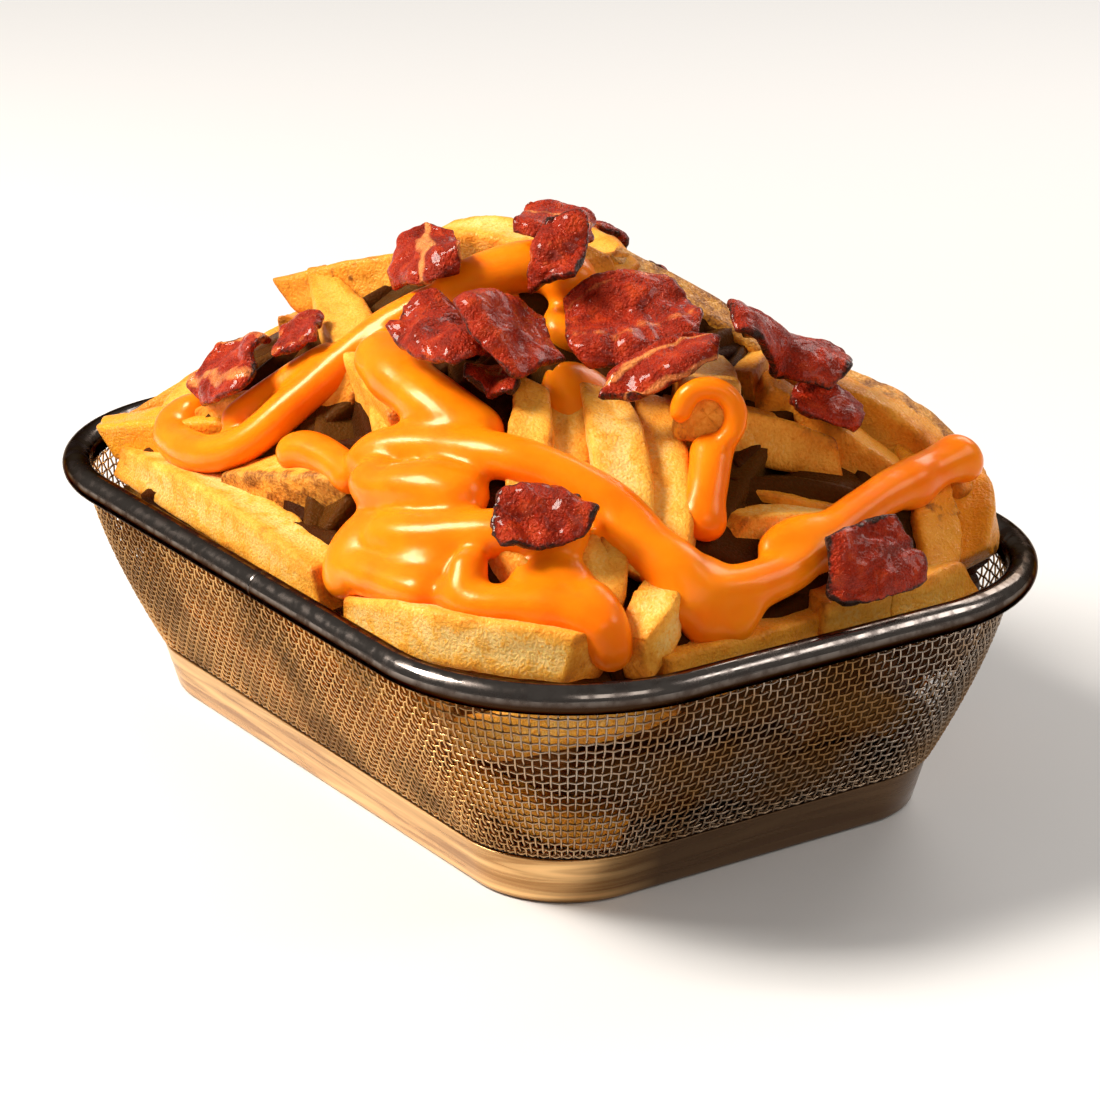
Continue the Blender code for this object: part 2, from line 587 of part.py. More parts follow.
def keep_largest_body(mesh):
    """Drop loose scraps and the walls of sealed hollows, and leave triangles."""
    work = bmesh.new()
    work.from_mesh(mesh)
    bmesh.ops.triangulate(work, faces=work.faces)
    bmesh.ops.dissolve_degenerate(work, edges=work.edges, dist=0.002 * MM)
    bmesh.ops.dissolve_limit(work, angle_limit=FLAT_ANGLE, verts=work.verts, edges=work.edges)
    bmesh.ops.triangulate(work, faces=work.faces)
    left = set(work.verts)
    islands = []
    while left:
        frontier = [left.pop()]
        island = set(frontier)
        while frontier:
            vertex = frontier.pop()
            for edge in vertex.link_edges:
                other = edge.other_vert(vertex)
                if other not in island:
                    island.add(other)
                    left.discard(other)
                    frontier.append(other)
        islands.append(island)
    islands.sort(key=len)
    scraps = [vertex for island in islands[:-1] for vertex in island]
    bmesh.ops.delete(work, geom=scraps, context="VERTS")
    work.to_mesh(mesh)
    work.free()


def surface_tree(obj):
    """A search tree over an object's triangles."""
    work = bmesh.new()
    work.from_mesh(obj.data)
    tree = BVHTree.FromBMesh(work)
    work.free()
    return tree


def resting_heights(centre, axes, spread, trees):
    """Highest thing under each sample of a patch, measured along the patch's normal."""
    along, across, normal = axes
    above = 40.0 * MM
    heights = np.full((len(spread[0]), len(spread[1])), BACON_DEEPEST)
    for i, u in enumerate(spread[0]):
        for j, v in enumerate(spread[1]):
            start = Vector(centre + along * u + across * v + normal * above)
            for tree in trees:
                hit = tree.ray_cast(start, Vector(-normal))
                if hit[0] is not None:
                    heights[i, j] = max(heights[i, j], above - hit[3])
    return heights


def bacon_mesh(name, centre, length, width, turn, curl, face, trees, rng):
    """A thin wavy piece that rests on the highest points beneath it."""
    centre = np.array(centre) * MM
    normal = heap_normal(centre[0], centre[1])
    if face is not None:
        tilt, towards = (math.radians(angle) for angle in face)
        normal = np.array((math.sin(tilt) * math.cos(towards), math.sin(tilt) * math.sin(towards),
                           math.cos(tilt)))
    heading = np.array((math.cos(math.radians(turn)), math.sin(math.radians(turn)), 0.0))
    along = heading - normal * (heading @ normal)
    along /= np.linalg.norm(along)
    across = np.cross(normal, along)
    steps_u, steps_v = BACON_STEPS
    fine_u = np.linspace(-0.5, 0.5, steps_u * BACON_SAMPLES + 1) * length * MM
    fine_v = np.linspace(-0.5, 0.5, steps_v * BACON_SAMPLES + 1) * width * MM
    heights = resting_heights(centre, (along, across, normal), (fine_u, fine_v), trees)
    rests = np.empty((steps_u + 1, steps_v + 1))
    for i in range(steps_u + 1):
        for j in range(steps_v + 1):
            near_u = slice(max((i - 1) * BACON_SAMPLES, 0), (i + 1) * BACON_SAMPLES + 1)
            near_v = slice(max((j - 1) * BACON_SAMPLES, 0), (j + 1) * BACON_SAMPLES + 1)
            rests[i, j] = heights[near_u, near_v].max()
    u, v = np.meshgrid(np.linspace(-1, 1, steps_u + 1), np.linspace(-1, 1, steps_v + 1), indexing="ij")
    phase = rng.uniform(0.0, 2 * math.pi, 3)
    wave = 0.5 * curl * MM * (1 + np.sin(2.6 * u + 1.4 * v + phase[0]) * np.cos(1.9 * v + phase[1]))
    settled = rests.copy()
    for _ in range(3):
        blurred = settled.copy()
        blurred[1:-1, 1:-1] = 0.25 * (settled[:-2, 1:-1] + settled[2:, 1:-1]
                                      + settled[1:-1, :-2] + settled[1:-1, 2:])
        settled = np.maximum(blurred, rests)
    lower = settled + BACON_CLEARANCE + wave
    ragged = 1 + 0.10 * np.sin(3.1 * v + phase[2]) + 0.06 * rng.uniform(-1, 1, u.shape)
    edge_u = u * length / 2 * MM * ragged * (1 - 0.22 * v ** 2)
    edge_v = v * width / 2 * MM * (1 - 0.25 * u ** 2 + 0.08 * np.sin(2.2 * u + phase[0]))
    under = centre + (edge_u[..., None] * along + edge_v[..., None] * across
                      + lower[..., None] * normal)
    over = under + BACON_THICKNESS * normal
    return plate_mesh(name, under, over)


def plate_mesh(name, under, over):
    """A closed plate between two grids of points, both faces split into triangles alike."""
    rows, columns = under.shape[:2]
    points = [tuple(point) for point in np.vstack([under.reshape(-1, 3), over.reshape(-1, 3)])]
    lift = rows * columns
    faces = []
    for i in range(rows - 1):
        for j in range(columns - 1):
            a = i * columns + j
            b = a + columns
            faces += [(a, a + 1, b + 1), (a, b + 1, b)]
            faces += [(a + lift, b + 1 + lift, a + 1 + lift), (a + lift, b + lift, b + 1 + lift)]
    border = [j for j in range(columns)]
    border += [i * columns + columns - 1 for i in range(1, rows)]
    border += [(rows - 1) * columns + j for j in range(columns - 2, -1, -1)]
    border += [i * columns for i in range(rows - 2, 0, -1)]
    for place, start in enumerate(border):
        end = border[(place + 1) % len(border)]
        faces += [(start, start + lift, end + lift), (start, end + lift, end)]
    mesh = bpy.data.meshes.new(name)
    mesh.from_pydata(points, [], faces)
    outwards(mesh)
    return mesh


def build_rim(parts, material):
    """The rolled rim: a tube round the top of the basket."""
    flat = rounded_outline(RIM_HALF_X, RIM_HALF_Y, RIM_CORNER)
    curve = bpy.data.curves.new("basket_rim", "CURVE")
    curve.dimensions = "3D"
    curve.bevel_depth = RIM_RADIUS
    curve.bevel_resolution = 3
    spline = curve.splines.new("POLY")
    spline.points.add(len(flat) - 1)
    for slot, (x, y) in zip(spline.points, flat):
        slot.co = (x, y, RIM_Z, 1.0)
    spline.use_cyclic_u = True
    return new_object("basket_rim", curve, parts, material)


def build_wall(parts, material):
    """The woven wall and floor: rings lofted from the rim to the floor, with a wall thickness."""
    heights = [WALL_TOP_Z - share * (WALL_TOP_Z - WALL_LOW_Z) for share in (0, 0.2, 0.42, 0.66, 0.86, 1)]
    rings = [outline_ring(RIM_HALF_X, RIM_HALF_Y, RIM_CORNER, wall_inset(z), z) for z in heights]
    turn_in = wall_inset(WALL_LOW_Z)
    for more, z in ((1.2 * MM, FLOOR_Z + 0.3 * MM), (3.6 * MM, FLOOR_Z)):
        rings.append(outline_ring(RIM_HALF_X, RIM_HALF_Y, RIM_CORNER, turn_in + more, z))
    mesh = mesh_from_rings("basket_mesh", np.array(rings), close_ends=False)
    work = bmesh.new()
    work.from_mesh(mesh)
    floor = [edge for edge in work.edges if edge.is_boundary
             and all(abs(vertex.co.z - FLOOR_Z) < 0.05 * MM for vertex in edge.verts)]
    bmesh.ops.contextual_create(work, geom=floor)
    bmesh.ops.recalc_face_normals(work, faces=work.faces)
    if sum(face.normal.z * face.calc_area() for face in work.faces) > 0:
        bmesh.ops.reverse_faces(work, faces=work.faces)
    work.to_mesh(mesh)
    work.free()
    made = new_object("basket_mesh", mesh, parts, material)
    shell = made.modifiers.new("Wall", "SOLIDIFY")
    shell.thickness = WALL_THICKNESS
    shell.offset = -1.0
    return made


def build_foot(parts, material):
    """The foot band: a drafted strip with a rounded lower edge and a narrow lip turned inwards."""
    inner_low = FOOT_DRAFT + FOOT_THICKNESS
    section = ((0.0, FOOT_HEIGHT), (FOOT_DRAFT - 0.2 * MM, FOOT_EDGE), (FOOT_DRAFT + FOOT_EDGE, 0.0),
               (FOOT_DRAFT + FOOT_LIP, 0.0), (FOOT_DRAFT + FOOT_LIP, FOOT_THICKNESS),
               (inner_low + FOOT_EDGE, FOOT_THICKNESS), (FOOT_THICKNESS, FOOT_HEIGHT))
    rings = [outline_ring(FOOT_TOP_HALF_X, FOOT_TOP_HALF_Y, FOOT_CORNER, inset, z)
             for inset, z in section]
    mesh = mesh_from_rings("basket_foot", np.array(rings), join_ends=True)
    return new_object("basket_foot", mesh, parts, material)


def build_heap(parts, rng, material):
    """The fries with the cheese poured over them, as one body."""
    meshes = [core_mesh()]
    meshes += placed_fries(rng)
    meshes += far_fries(rng)
    meshes += wall_fries(rng)
    meshes += rope_meshes(parts)
    meshes += pool_meshes()
    return fuse("fries", meshes, material, parts)


def build_bacon(parts, heap, rng, material):
    """The pieces of bacon, each resting on the heap and on the pieces before it."""
    trees = [surface_tree(heap)]
    for name, centre, length, width, turn, curl, face in BACON:
        mesh = bacon_mesh(f"bacon_{name}", centre, length, width, turn, curl, face, trees, rng)
        made = new_object(f"bacon_{name}", mesh, parts, material)
        trees.append(surface_tree(made))


def main():
    """Build the basket, the heap and the bacon."""
    clear_scene()
    rng = np.random.default_rng(SEED)
    parts = new_collection("cheese_fries")
    steel = new_material("polished_steel", (0.50, 0.46, 0.42), 0.22, 1.0)
    wire = new_material("steel_wire", (0.42, 0.36, 0.30), 0.35, 1.0)
    fried = new_material("fried_potato", (0.80, 0.48, 0.12), 0.55)
    cured = new_material("bacon", (0.45, 0.05, 0.03), 0.35)
    build_rim(parts, steel)
    build_wall(parts, wire)
    build_foot(parts, steel)
    heap = build_heap(parts, rng, fried)
    build_bacon(parts, heap, rng, cured)


main()
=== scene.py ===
"""Looks of the cheese fries with bacon, heaped in a wire-mesh serving basket.

Every piece is worked out as whole arrays from the sizes of the solid that it stands for: a polished rim,
a woven wire wall, a foot band, fries with cut ends, cheese poured over them and crumpled bacon.
Lengths are metres: sizes are millimetres times MM, and the tables are in plain millimetres.
A Texture is a noise's cell, its layers and its seed. A Mask is a patchy mask's scale, detail, low and high.
"""

import logging
import math
from dataclasses import dataclass
from enum import Enum

import bmesh
import bpy
import numpy as np
import numpy.typing as npt
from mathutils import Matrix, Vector
from mathutils.bvhtree import BVHTree


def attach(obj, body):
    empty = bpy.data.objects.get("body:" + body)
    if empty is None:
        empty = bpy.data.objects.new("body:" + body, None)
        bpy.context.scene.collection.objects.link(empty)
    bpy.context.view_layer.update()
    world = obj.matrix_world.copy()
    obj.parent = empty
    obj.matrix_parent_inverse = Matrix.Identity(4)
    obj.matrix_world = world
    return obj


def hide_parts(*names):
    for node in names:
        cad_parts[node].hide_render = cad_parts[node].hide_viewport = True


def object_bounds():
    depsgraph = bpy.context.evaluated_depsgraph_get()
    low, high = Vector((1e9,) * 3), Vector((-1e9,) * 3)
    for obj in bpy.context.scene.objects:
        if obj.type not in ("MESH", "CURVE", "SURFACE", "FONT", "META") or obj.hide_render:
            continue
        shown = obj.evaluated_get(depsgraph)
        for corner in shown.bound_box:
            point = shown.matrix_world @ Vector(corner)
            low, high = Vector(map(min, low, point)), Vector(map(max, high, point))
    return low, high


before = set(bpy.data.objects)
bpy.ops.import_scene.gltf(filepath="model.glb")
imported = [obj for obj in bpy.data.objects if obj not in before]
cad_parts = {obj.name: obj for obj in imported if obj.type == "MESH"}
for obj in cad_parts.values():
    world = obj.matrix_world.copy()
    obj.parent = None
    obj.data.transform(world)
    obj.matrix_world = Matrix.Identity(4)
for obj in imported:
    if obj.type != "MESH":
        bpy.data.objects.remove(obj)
CAD_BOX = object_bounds()

LOG = logging.getLogger("cheese_fries")
Array = npt.NDArray[np.float64]
Whole = npt.NDArray[np.int64]
Colour = tuple[float, float, float]
Place = tuple[float, float, float]
Span = tuple[float, float]
Texture = tuple[float, int, int]
Mask = tuple[float, float, float, float]
Stops = tuple[tuple[float, Colour], ...]
Socket = bpy.types.NodeSocket

MM = 0.001
TAU = 2 * math.pi
SEED = 11
BENEATH_DRAWS = SEED + 12
FAR_SEED = 100
WALL_SEED = 200
BENEATH_SEED = 300
LOOK_SEED = 500
FORM_SEED = 900
GOLDEN_TURN = 0.618034
UP = (0.0, 0.0, 1.0)
MASK_INPUTS = ("Scale", "Detail", "Low", "High")


class Slot(Enum):
    """The record's material slots."""

    STEEL = "polished_steel"
    WIRE = "steel_wire"
    POTATO = "fried_potato"
    CHEESE = "cheese_sauce"
    BACON = "bacon"


# Fries that lie on the near side, in millimetres: name, width, taper of each end, centre line
FRIES = (
    ("corner_fat", 12.0, 0.80, 0.80, ((-83, -68, 64), (-60, -60, 70), (-36, -50, 76))),
    ("long_left", 11.5, 0.72, 0.85, ((-73, -67, 61), (-17, -69, 63.5), (28, -71, 61.5))),
    ("front_long", 12.0, 0.45, 0.92, ((37, -73, 60), (70, -66, 63), (96, -49, 62.5))),
    ("brown_skin", 11.5, 0.70, 0.85, ((-30, -64, 67), (-8, -60, 72), (16, -54, 78))),
    ("leaning", 12.5, 0.40, 0.90, ((-53, -26, 105), (-17, -36, 96), (19, -43, 89))),
    ("behind_leaning", 12.0, 0.80, 0.85, ((-58, -29, 100), (-35, -14, 107), (-12, -2, 112))),
    ("top", 11.5, 0.75, 0.85, ((-27, -8, 117), (-6, -1, 119), (16, 8, 115))),
    ("wedge", 10.5, 0.60, 0.85, ((-8, -36, 92), (16, -46, 84), (34, -54, 77))),
    ("cheese_tip", 7.5, 0.85, 0.60, ((-4, -30, 101), (4, -18, 109), (5, -4, 118))),
    ("under_rope", 11.0, 0.80, 0.85, ((-56, -57, 73), (-34, -49, 82), (-8, -38, 93))),
    ("steep_a", 10.5, 0.75, 0.85, ((36, -24, 99), (52, -35, 88), (68, -47, 75))),
    ("steep_b", 10.0, 0.85, 0.85, ((36, -14, 98), (53, -26, 87), (68, -36, 76))),
    ("steep_pale", 12.5, 0.70, 0.85, ((42, -10, 98), (64, -20, 87), (82, -31, 73))),
    ("steep_gold", 12.5, 0.70, 0.85, ((46, 2, 96), (72, -13, 81), (86, -22, 71))),
    ("head_on", 14.5, 0.95, 0.85, ((70, -1, 99.5), (50, 12, 96), (28, 23, 96))),
    ("skin_end", 12.5, 0.85, 0.80, ((50, 2, 92), (60, 17, 89), (69, 34, 83))),
    ("pale_end", 10.5, 0.75, 0.85, ((79, -3, 76), (82, 16, 73), (84, 36, 70))),
    ("in_cavity", 11.0, 0.80, 0.85, ((67, 8, 79), (76, 22, 73), (85, 40, 67))),
    ("shoulder_low", 12.0, 0.85, 0.80, ((52, 26, 95), (70, 42, 80), (84, 54, 68))),
    ("shoulder_high", 13.0, 0.80, 0.75, ((48, 47, 91), (66, 58, 82), (80, 64, 69))),
    ("right_steep", 11.5, 0.80, 0.75, ((66, 58, 80), (84, 50, 70), (98, 42, 60))),
    ("right_skin", 12.0, 0.80, 0.70, ((60, 70, 74), (79, 66, 69), (93, 57, 61))),
    ("rim_pale", 11.5, 0.75, 0.85, ((100, 6, 61.5), (101, 26, 60.5), (96, 48, 60))),
    ("rim_dark", 12.0, 0.85, 0.85, ((99, -34, 56), (99, -14, 56.5), (97, 6, 57))),
    ("drip_pale", 9.8, 0.65, 0.75, ((90, -27, 71), (96, -33, 67), (99, -41, 60))),
    ("drip_low", 10.5, 0.80, 0.80, ((66, -26, 80), (78, -34, 75), (90, -43, 66))),
    ("under_bacon", 10.5, 0.80, 0.80, ((52, -52, 78), (68, -49, 75), (86, -42, 69))),
    ("front_deep", 11.0, 0.85, 0.85, ((48, -62, 66), (72, -58, 66), (92, -40, 66))),
    ("left_deep", 11.0, 0.85, 0.85, ((-88, -44, 63), (-66, -46, 70), (-38, -40, 80))),
    ("left_edge", 11.5, 0.80, 0.85, ((-96, -34, 61), (-78, -30, 71), (-52, -22, 84))),
)

# Named fries whose look differs: tone from pale -1 to dark 1, share of brown skin, share of clear amber
FRY_LOOKS = {
    "corner_fat": (0.30, 0.0, 1.0),
    "long_left": (-0.45, 0.14, 0.0),
    "front_long": (-0.85, 0.05, 0.0),
    "brown_skin": (-0.1, 0.34, 0.0),
    "leaning": (0.0, 0.05, 0.1),
    "behind_leaning": (0.45, 0.2, 0.2),
    "top": (-0.5, 0.05, 0.0),
    "steep_pale": (-0.5, 0.05, 0.0),
    "steep_gold": (-0.1, 0.1, 0.1),
    "head_on": (-0.2, 0.1, 0.0),
    "skin_end": (0.3, 0.6, 0.0),
    "pale_end": (-0.55, 0.1, 0.0),
    # partly painted shade: the fries from shoulder_low to right_skin are toned darker and given more clear
    # amber for the shade on that side
    "shoulder_low": (0.5, 0.25, 0.2),
    "shoulder_high": (0.6, 0.35, 0.2),
    "right_steep": (0.65, 0.2, 0.5),
    "right_skin": (0.85, 0.35, 0.6),
    "in_cavity": (0.5, 0.1, 0.3),
    "rim_pale": (-0.25, 0.1, 0.1),
    "rim_dark": (0.1, 0.05, 0.3),
    "drip_pale": (-0.5, 0.0, 0.0),
}

# Ropes of cheese, in millimetres: name, radius, centre line
ROPES = (
    ("top", 5.5, ((22, -3, 114), (13, -1, 118.5), (7, -8, 119), (2, -16, 116), (-5, -24, 110))),
    ("top_low", 4.4, ((-3, -22, 112), (-12, -34, 103), (-17, -44, 94), (-21, -53, 86), (-27, -62, 77),
                      (-39, -66, 72), (-55, -65, 71), (-61, -60, 74), (-52, -57, 78))),
    ("beside_top", 4.0, ((-17, -40, 98), (-26, -46, 92), (-33, -54, 84), (-40, -60, 77))),
    ("over_leaning", 6.6, ((-8, -37, 101), (8, -41, 99), (24, -41, 96), (34, -39, 93), (41, -37, 90))),
    ("curl", 4.2, ((-12, -61, 77), (-6, -58, 81), (6, -57, 81), (18, -58, 79))),
    ("main", 4.8, ((19, -58, 81), (18, -53, 86), (31, -47, 90), (49, -41, 92), (62, -34, 90),
                   (74, -28, 85), (85, -25, 78), (95, -22, 72), (97, -12, 70), (96, 2, 71),
                   (92, 16, 75), (88, 30, 78), (84, 46, 80), (82, 61, 82))),
    ("hook", 6.0, ((21, -56, 84), (28, -59, 82), (36, -57, 84), (45, -53, 85), (55, -49, 84))),
    ("puddle_edge", 5.2, ((29, -70, 67), (42, -69, 68), (56, -68, 69), (64, -65, 70))),
    ("puddle_middle", 5.6, ((34, -64, 74), (48, -61, 77), (66, -50, 81), (78, -37, 80))),
    ("puddle_front", 4.6, ((62, -64, 70), (74, -62, 70), (87, -51, 71), (99, -43, 66))),
    ("spike", 3.8, ((72, -66, 69), (68, -62, 74), (65, -59, 79))),
    ("right_branch", 5.8, ((72, -30, 84), (84, -26, 78), (95, -22, 71), (101, -21, 60))),
    ("right_drip", 4.6, ((95, -6, 70), (99, -13, 66), (101, -20, 60))),
    ("front_drip", 4.8, ((84, -44, 73), (94, -45, 69), (98.5, -44.5, 58.5))),
    ("fry_end", 2.5, ((67.4, -6.5, 97.4), (67.0, -5.1, 103.5), (69.4, -0.8, 106),
                      (72.6, 3.2, 103.7), (74.2, 3.9, 98.5), (74.5, 0, 93))),
    ("hanging", 4.2, ((68, 2, 94), (74, -3, 89), (79, -8, 84), (82, -11, 79))),
    ("back_pour", 4.6, ((-10, 12, 112), (-20, 22, 108), (-28, 36, 102), (-22, 50, 96), (-6, 60, 88))),
    ("left_pour", 4.4, ((-40, -26, 101), (-58, -16, 94), (-74, -4, 86), (-86, 10, 78))),
)

# Pools of cheese, in millimetres: name, centre, half sizes along, across and up
POOLS = (
    ("front_left", (33, -66, 70), (12, 9, 6)),
    ("front_middle", (50, -61, 75), (15, 12, 5)),
    ("front_right", (82, -50, 72), (11, 10, 4)),
    ("fold", (38, -50, 83), (13, 8, 5)),
    ("fork", (94, -21, 70.5), (9, 10, 6)),
    ("rope_wide", (84, 46, 79), (5.5, 9, 6)),
    ("hanging_low", (80.5, -9.5, 81), (6, 5, 4.5)),
    ("right_mass", (92, 11, 74), (7, 13, 5)),
    ("rope_tip", (82.5, 60, 81.5), (6, 5, 5)),
    ("below_lobe", (41, -14, 97.5), (12, 9, 3)),
    ("between", (24, -4, 108), (8, 8, 4)),
    ("back", (-8, 40, 100), (16, 12, 5)),
)

# Bacon, in millimetres and degrees: name, centre, length, width, turn, curl, and how its face is tilted
# from level and towards where, or None where it lies along the slope
BACON = (
    ("front", (73, -46, 85), 24, 16, 62, 4.0, (50, -34)),
    ("far_left", (-43, -53, 88), 27, 20, 35, 3.5, (60, -70)),
    ("left", (-31, -40, 95), 14, 13, 60, 2.0, (50, -60)),
    ("left_top", (-16, -18, 116), 19, 17, 146, 2.5, (60, -34)),
    ("centre_low", (27, -28, 98), 15, 12, 30, 2.0, (50, -34)),
    ("centre_left", (8, -29, 100), 28, 20, 0, 4.0, (50, -34)),
    ("lobe", (26, -23, 106), 29, 20, -14, 5.0, (50, -34)),
    ("big", (35, 2.5, 109), 34, 29, 80, 5.0, (46, -34)),
    ("strip", (52, -1, 102), 32, 13, 98, 2.5, (50, -34)),
    ("top", (4, 4, 125), 20, 15, 30, 2.5, (60, -34)),
    ("top_twist", (16, -3, 120), 21, 13, -40, 3.0, (45, -35)),
    ("right_low", (60, 39, 87), 18, 13, 33, 2.5, (50, -34)),
    ("right", (46, 38, 93), 31, 22, 33, 4.0, (50, -34)),
    ("right_front", (101, 19, 71), 26, 21, 100, 3.5, (65, -20)),
    ("back_high", (-36, 40, 110), 24, 17, 20, 3.0, None),
    ("back_low", (-30, 62, 92), 24, 17, 60, 3.0, None),
    ("left_far", (-68, 18, 96), 25, 18, 110, 3.0, None),
)

# Looks of each piece of bacon: share of fat, share of char, how deeply it is crumpled in millimetres
BACON_LOOKS = {
    "front": (0.05, 0.40, 1.3),
    "far_left": (0.20, 0.20, 1.2),
    "left": (0.12, 0.10, 1.0),
    "left_top": (0.30, 0.02, 1.1),
    "centre_low": (0.0, 0.55, 1.2),
    "centre_left": (0.08, 0.15, 1.5),
    "lobe": (0.0, 0.22, 1.1),
    "big": (0.12, 0.05, 1.2),
    "strip": (0.22, 0.15, 0.9),
    "top": (0.20, 0.08, 1.1),
    "top_twist": (0.08, 0.35, 1.4),
    "right": (0.04, 0.30, 1.3),
    "right_low": (0.08, 0.20, 1.1),
    "right_front": (0.0, 0.45, 1.5),
    "back_high": (0.12, 0.20, 1.3),
    "back_low": (0.12, 0.25, 1.3),
    "left_far": (0.12, 0.25, 1.3),
}


def lattice_value(cells: Whole, seed: int) -> Array:
    """A fixed pseudo-random value from -1 to 1 for each lattice cell.

    Formula: the cell's three whole numbers times large primes, mixed by exclusive or and shifts.

    Args:
        cells: Whole numbers of the cells, last axis x, y, z.
        seed: Changes the whole field.

    Returns:
        One value for each cell.
    """
    mixed = (cells[..., 0] * 73856093) ^ (cells[..., 1] * 19349663) ^ (cells[..., 2] * 83492791)
    mixed = (mixed ^ (seed * 2654435761)) & 0xFFFFFFFF
    mixed = ((mixed ^ (mixed >> 15)) * 2246822519) & 0xFFFFFFFF
    mixed = ((mixed ^ (mixed >> 13)) * 3266489917) & 0xFFFFFFFF
    mixed = mixed ^ (mixed >> 16)
    return mixed / float(0x7FFFFFFF) - 1.0


def noise(points: Array, cell: float, seed: int) -> Array:
    """Smooth value noise from -1 to 1.

    Formula: the eight lattice values round a point, blended by 3t squared minus 2t cubed on each axis.

    Args:
        points: Places, last axis x, y, z.
        cell: Size of a lattice cell.
        seed: Changes the whole field.

    Returns:
        One value for each point.
    """
    scaled = points / cell
    base = np.floor(scaled).astype(np.int64)
    part = scaled - base
    blend = part * part * (3.0 - 2.0 * part)
    total = np.zeros(points.shape[:-1])
    for corner in range(8):
        offset = np.array(((corner >> 0) & 1, (corner >> 1) & 1, (corner >> 2) & 1))
        weight = np.prod(np.where(offset == 1, blend, 1.0 - blend), axis=-1)
        total += weight * lattice_value(base + offset, seed)
    return total


def layered_noise(points: Array, cell: float, layers: int, seed: int) -> Array:
    """Noise of several sizes, each half the size and half the height of the one before."""
    total = np.zeros(points.shape[:-1])
    for layer in range(layers):
        total += 0.5 ** layer * noise(points, cell * 0.5 ** layer, seed + 17 * layer)
    return total / (2.0 - 0.5 ** (layers - 1))


def smooth_step(value: Array, low: float, high: float) -> Array:
    """0 below low, 1 above high and a smooth cubic rise between them."""
    share = np.clip((value - low) / (high - low), 0.0, 1.0)
    return share * share * (3.0 - 2.0 * share)


def unit(vectors: Array) -> Array:
    """Vectors scaled to length 1 along the last axis."""
    return vectors / np.maximum(np.linalg.norm(vectors, axis=-1, keepdims=True), 1e-12)


def smooth_route(points: npt.ArrayLike, count: int) -> Array:
    """Points at even shares of a smooth curve through the given ones.

    Formula: a Catmull-Rom cubic over each span, with the first and last span mirrored past the ends.

    Args:
        points: The points that the curve passes through.
        count: How many points to return.

    Returns:
        An array of count points.
    """
    given = np.asarray(points, dtype=float)
    padded = np.vstack([2 * given[0] - given[1], given, 2 * given[-1] - given[-2]])
    spans = len(given) - 1
    place = np.linspace(0.0, spans, count)
    span = np.minimum(place.astype(int), spans - 1)
    t = (place - span)[:, None]
    before, start, end, after = (padded[span + step] for step in range(4))
    return 0.5 * (2 * start + (end - before) * t
                  + (2 * before - 5 * start + 4 * end - after) * t ** 2
                  + (3 * start - before - 3 * end + after) * t ** 3)


def travel_along(points: Array) -> Array:
    """Length along a line at each of its points."""
    steps = np.linalg.norm(np.diff(points, axis=0), axis=1)
    return np.concatenate([[0.0], np.cumsum(steps)])


def along_line(points: Array, travel: Array, wanted: Array) -> Array:
    """Points at wanted lengths of a line whose own points have the lengths travel."""
    return np.column_stack([np.interp(wanted, travel, column) for column in points.T])


def even_route(points: Array, count: int) -> Array:
    """The same line with its points at even lengths along it."""
    travel = travel_along(points)
    return along_line(points, travel, np.linspace(0.0, travel[-1], count))


def cross_frame(along: Array, near: npt.ArrayLike) -> tuple[Array, Array]:
    """Two directions square to a line: one square to the given direction as well, and one near it."""
    side = unit(np.cross(along, near))
    return side, np.cross(side, along)


def superellipse(across: Array, above: Array, power: float) -> Array:
    """Reach of a superellipse along directions, given as parts of its two half sizes."""
    return (np.abs(across) ** power + np.abs(above) ** power) ** (-1 / power)


def cubic_weights(t: Array) -> Array:
    """The four Catmull-Rom weights at each share t of a span."""
    return 0.5 * np.stack([-t + 2 * t ** 2 - t ** 3,
                           2 - 5 * t ** 2 + 3 * t ** 3,
                           t + 4 * t ** 2 - 3 * t ** 3,
                           -t ** 2 + t ** 3], axis=-1)


def surface_at(grid: Array, u: Array, v: Array) -> Array:
    """Points of a smooth surface through a grid of points.

    Formula: a Catmull-Rom cubic along the rows of one along the columns.

    Args:
        grid: Rows by columns by 3.
        u: Place along the rows, 0 to rows - 1.
        v: Place along the columns, 0 to columns - 1.

    Returns:
        One point for each pair of u and v.
    """
    wide = np.concatenate([2 * grid[:1] - grid[1:2], grid, 2 * grid[-1:] - grid[-2:-1]], axis=0)
    wide = np.concatenate([2 * wide[:, :1] - wide[:, 1:2], wide,
                           2 * wide[:, -1:] - wide[:, -2:-1]], axis=1)
    row = np.clip(u.astype(int), 0, grid.shape[0] - 2)
    column = np.clip(v.astype(int), 0, grid.shape[1] - 2)
    weights_u = cubic_weights(u - row)
    weights_v = cubic_weights(v - column)
    total = np.zeros((*u.shape, 3))
    for i in range(4):
        for j in range(4):
            weight = weights_u[..., i] * weights_v[..., j]
            total += weight[..., None] * wide[row + i, column + j]
    return total


def grid_faces(rows: int, columns: int, wrap_rows: bool = False, wrap_columns: bool = False) -> Whole:
    """Quads of a grid of rows by columns vertices, joined round where asked."""
    i, j = np.meshgrid(np.arange(rows if wrap_rows else rows - 1),
                       np.arange(columns if wrap_columns else columns - 1), indexing="ij")
    down = (i + 1) % rows
    right = (j + 1) % columns
    quads = (i * columns + j, i * columns + right, down * columns + right, down * columns + j)
    return np.stack(quads, -1).reshape(-1, 4)


def end_caps(rings: int, around: int) -> Whole:
    """The two faces that close a tube of so many rings of vertices."""
    first = np.arange(around)[None]
    return np.vstack([first[:, ::-1], (rings - 1) * around + first])


def repeated_faces(faces: Whole, copies: int, size: int) -> Whole:
    """The same faces for each of several copies that have size vertices each."""
    lift = np.arange(copies)[:, None, None] * size
    return (faces[None] + lift).reshape(-1, faces.shape[1])


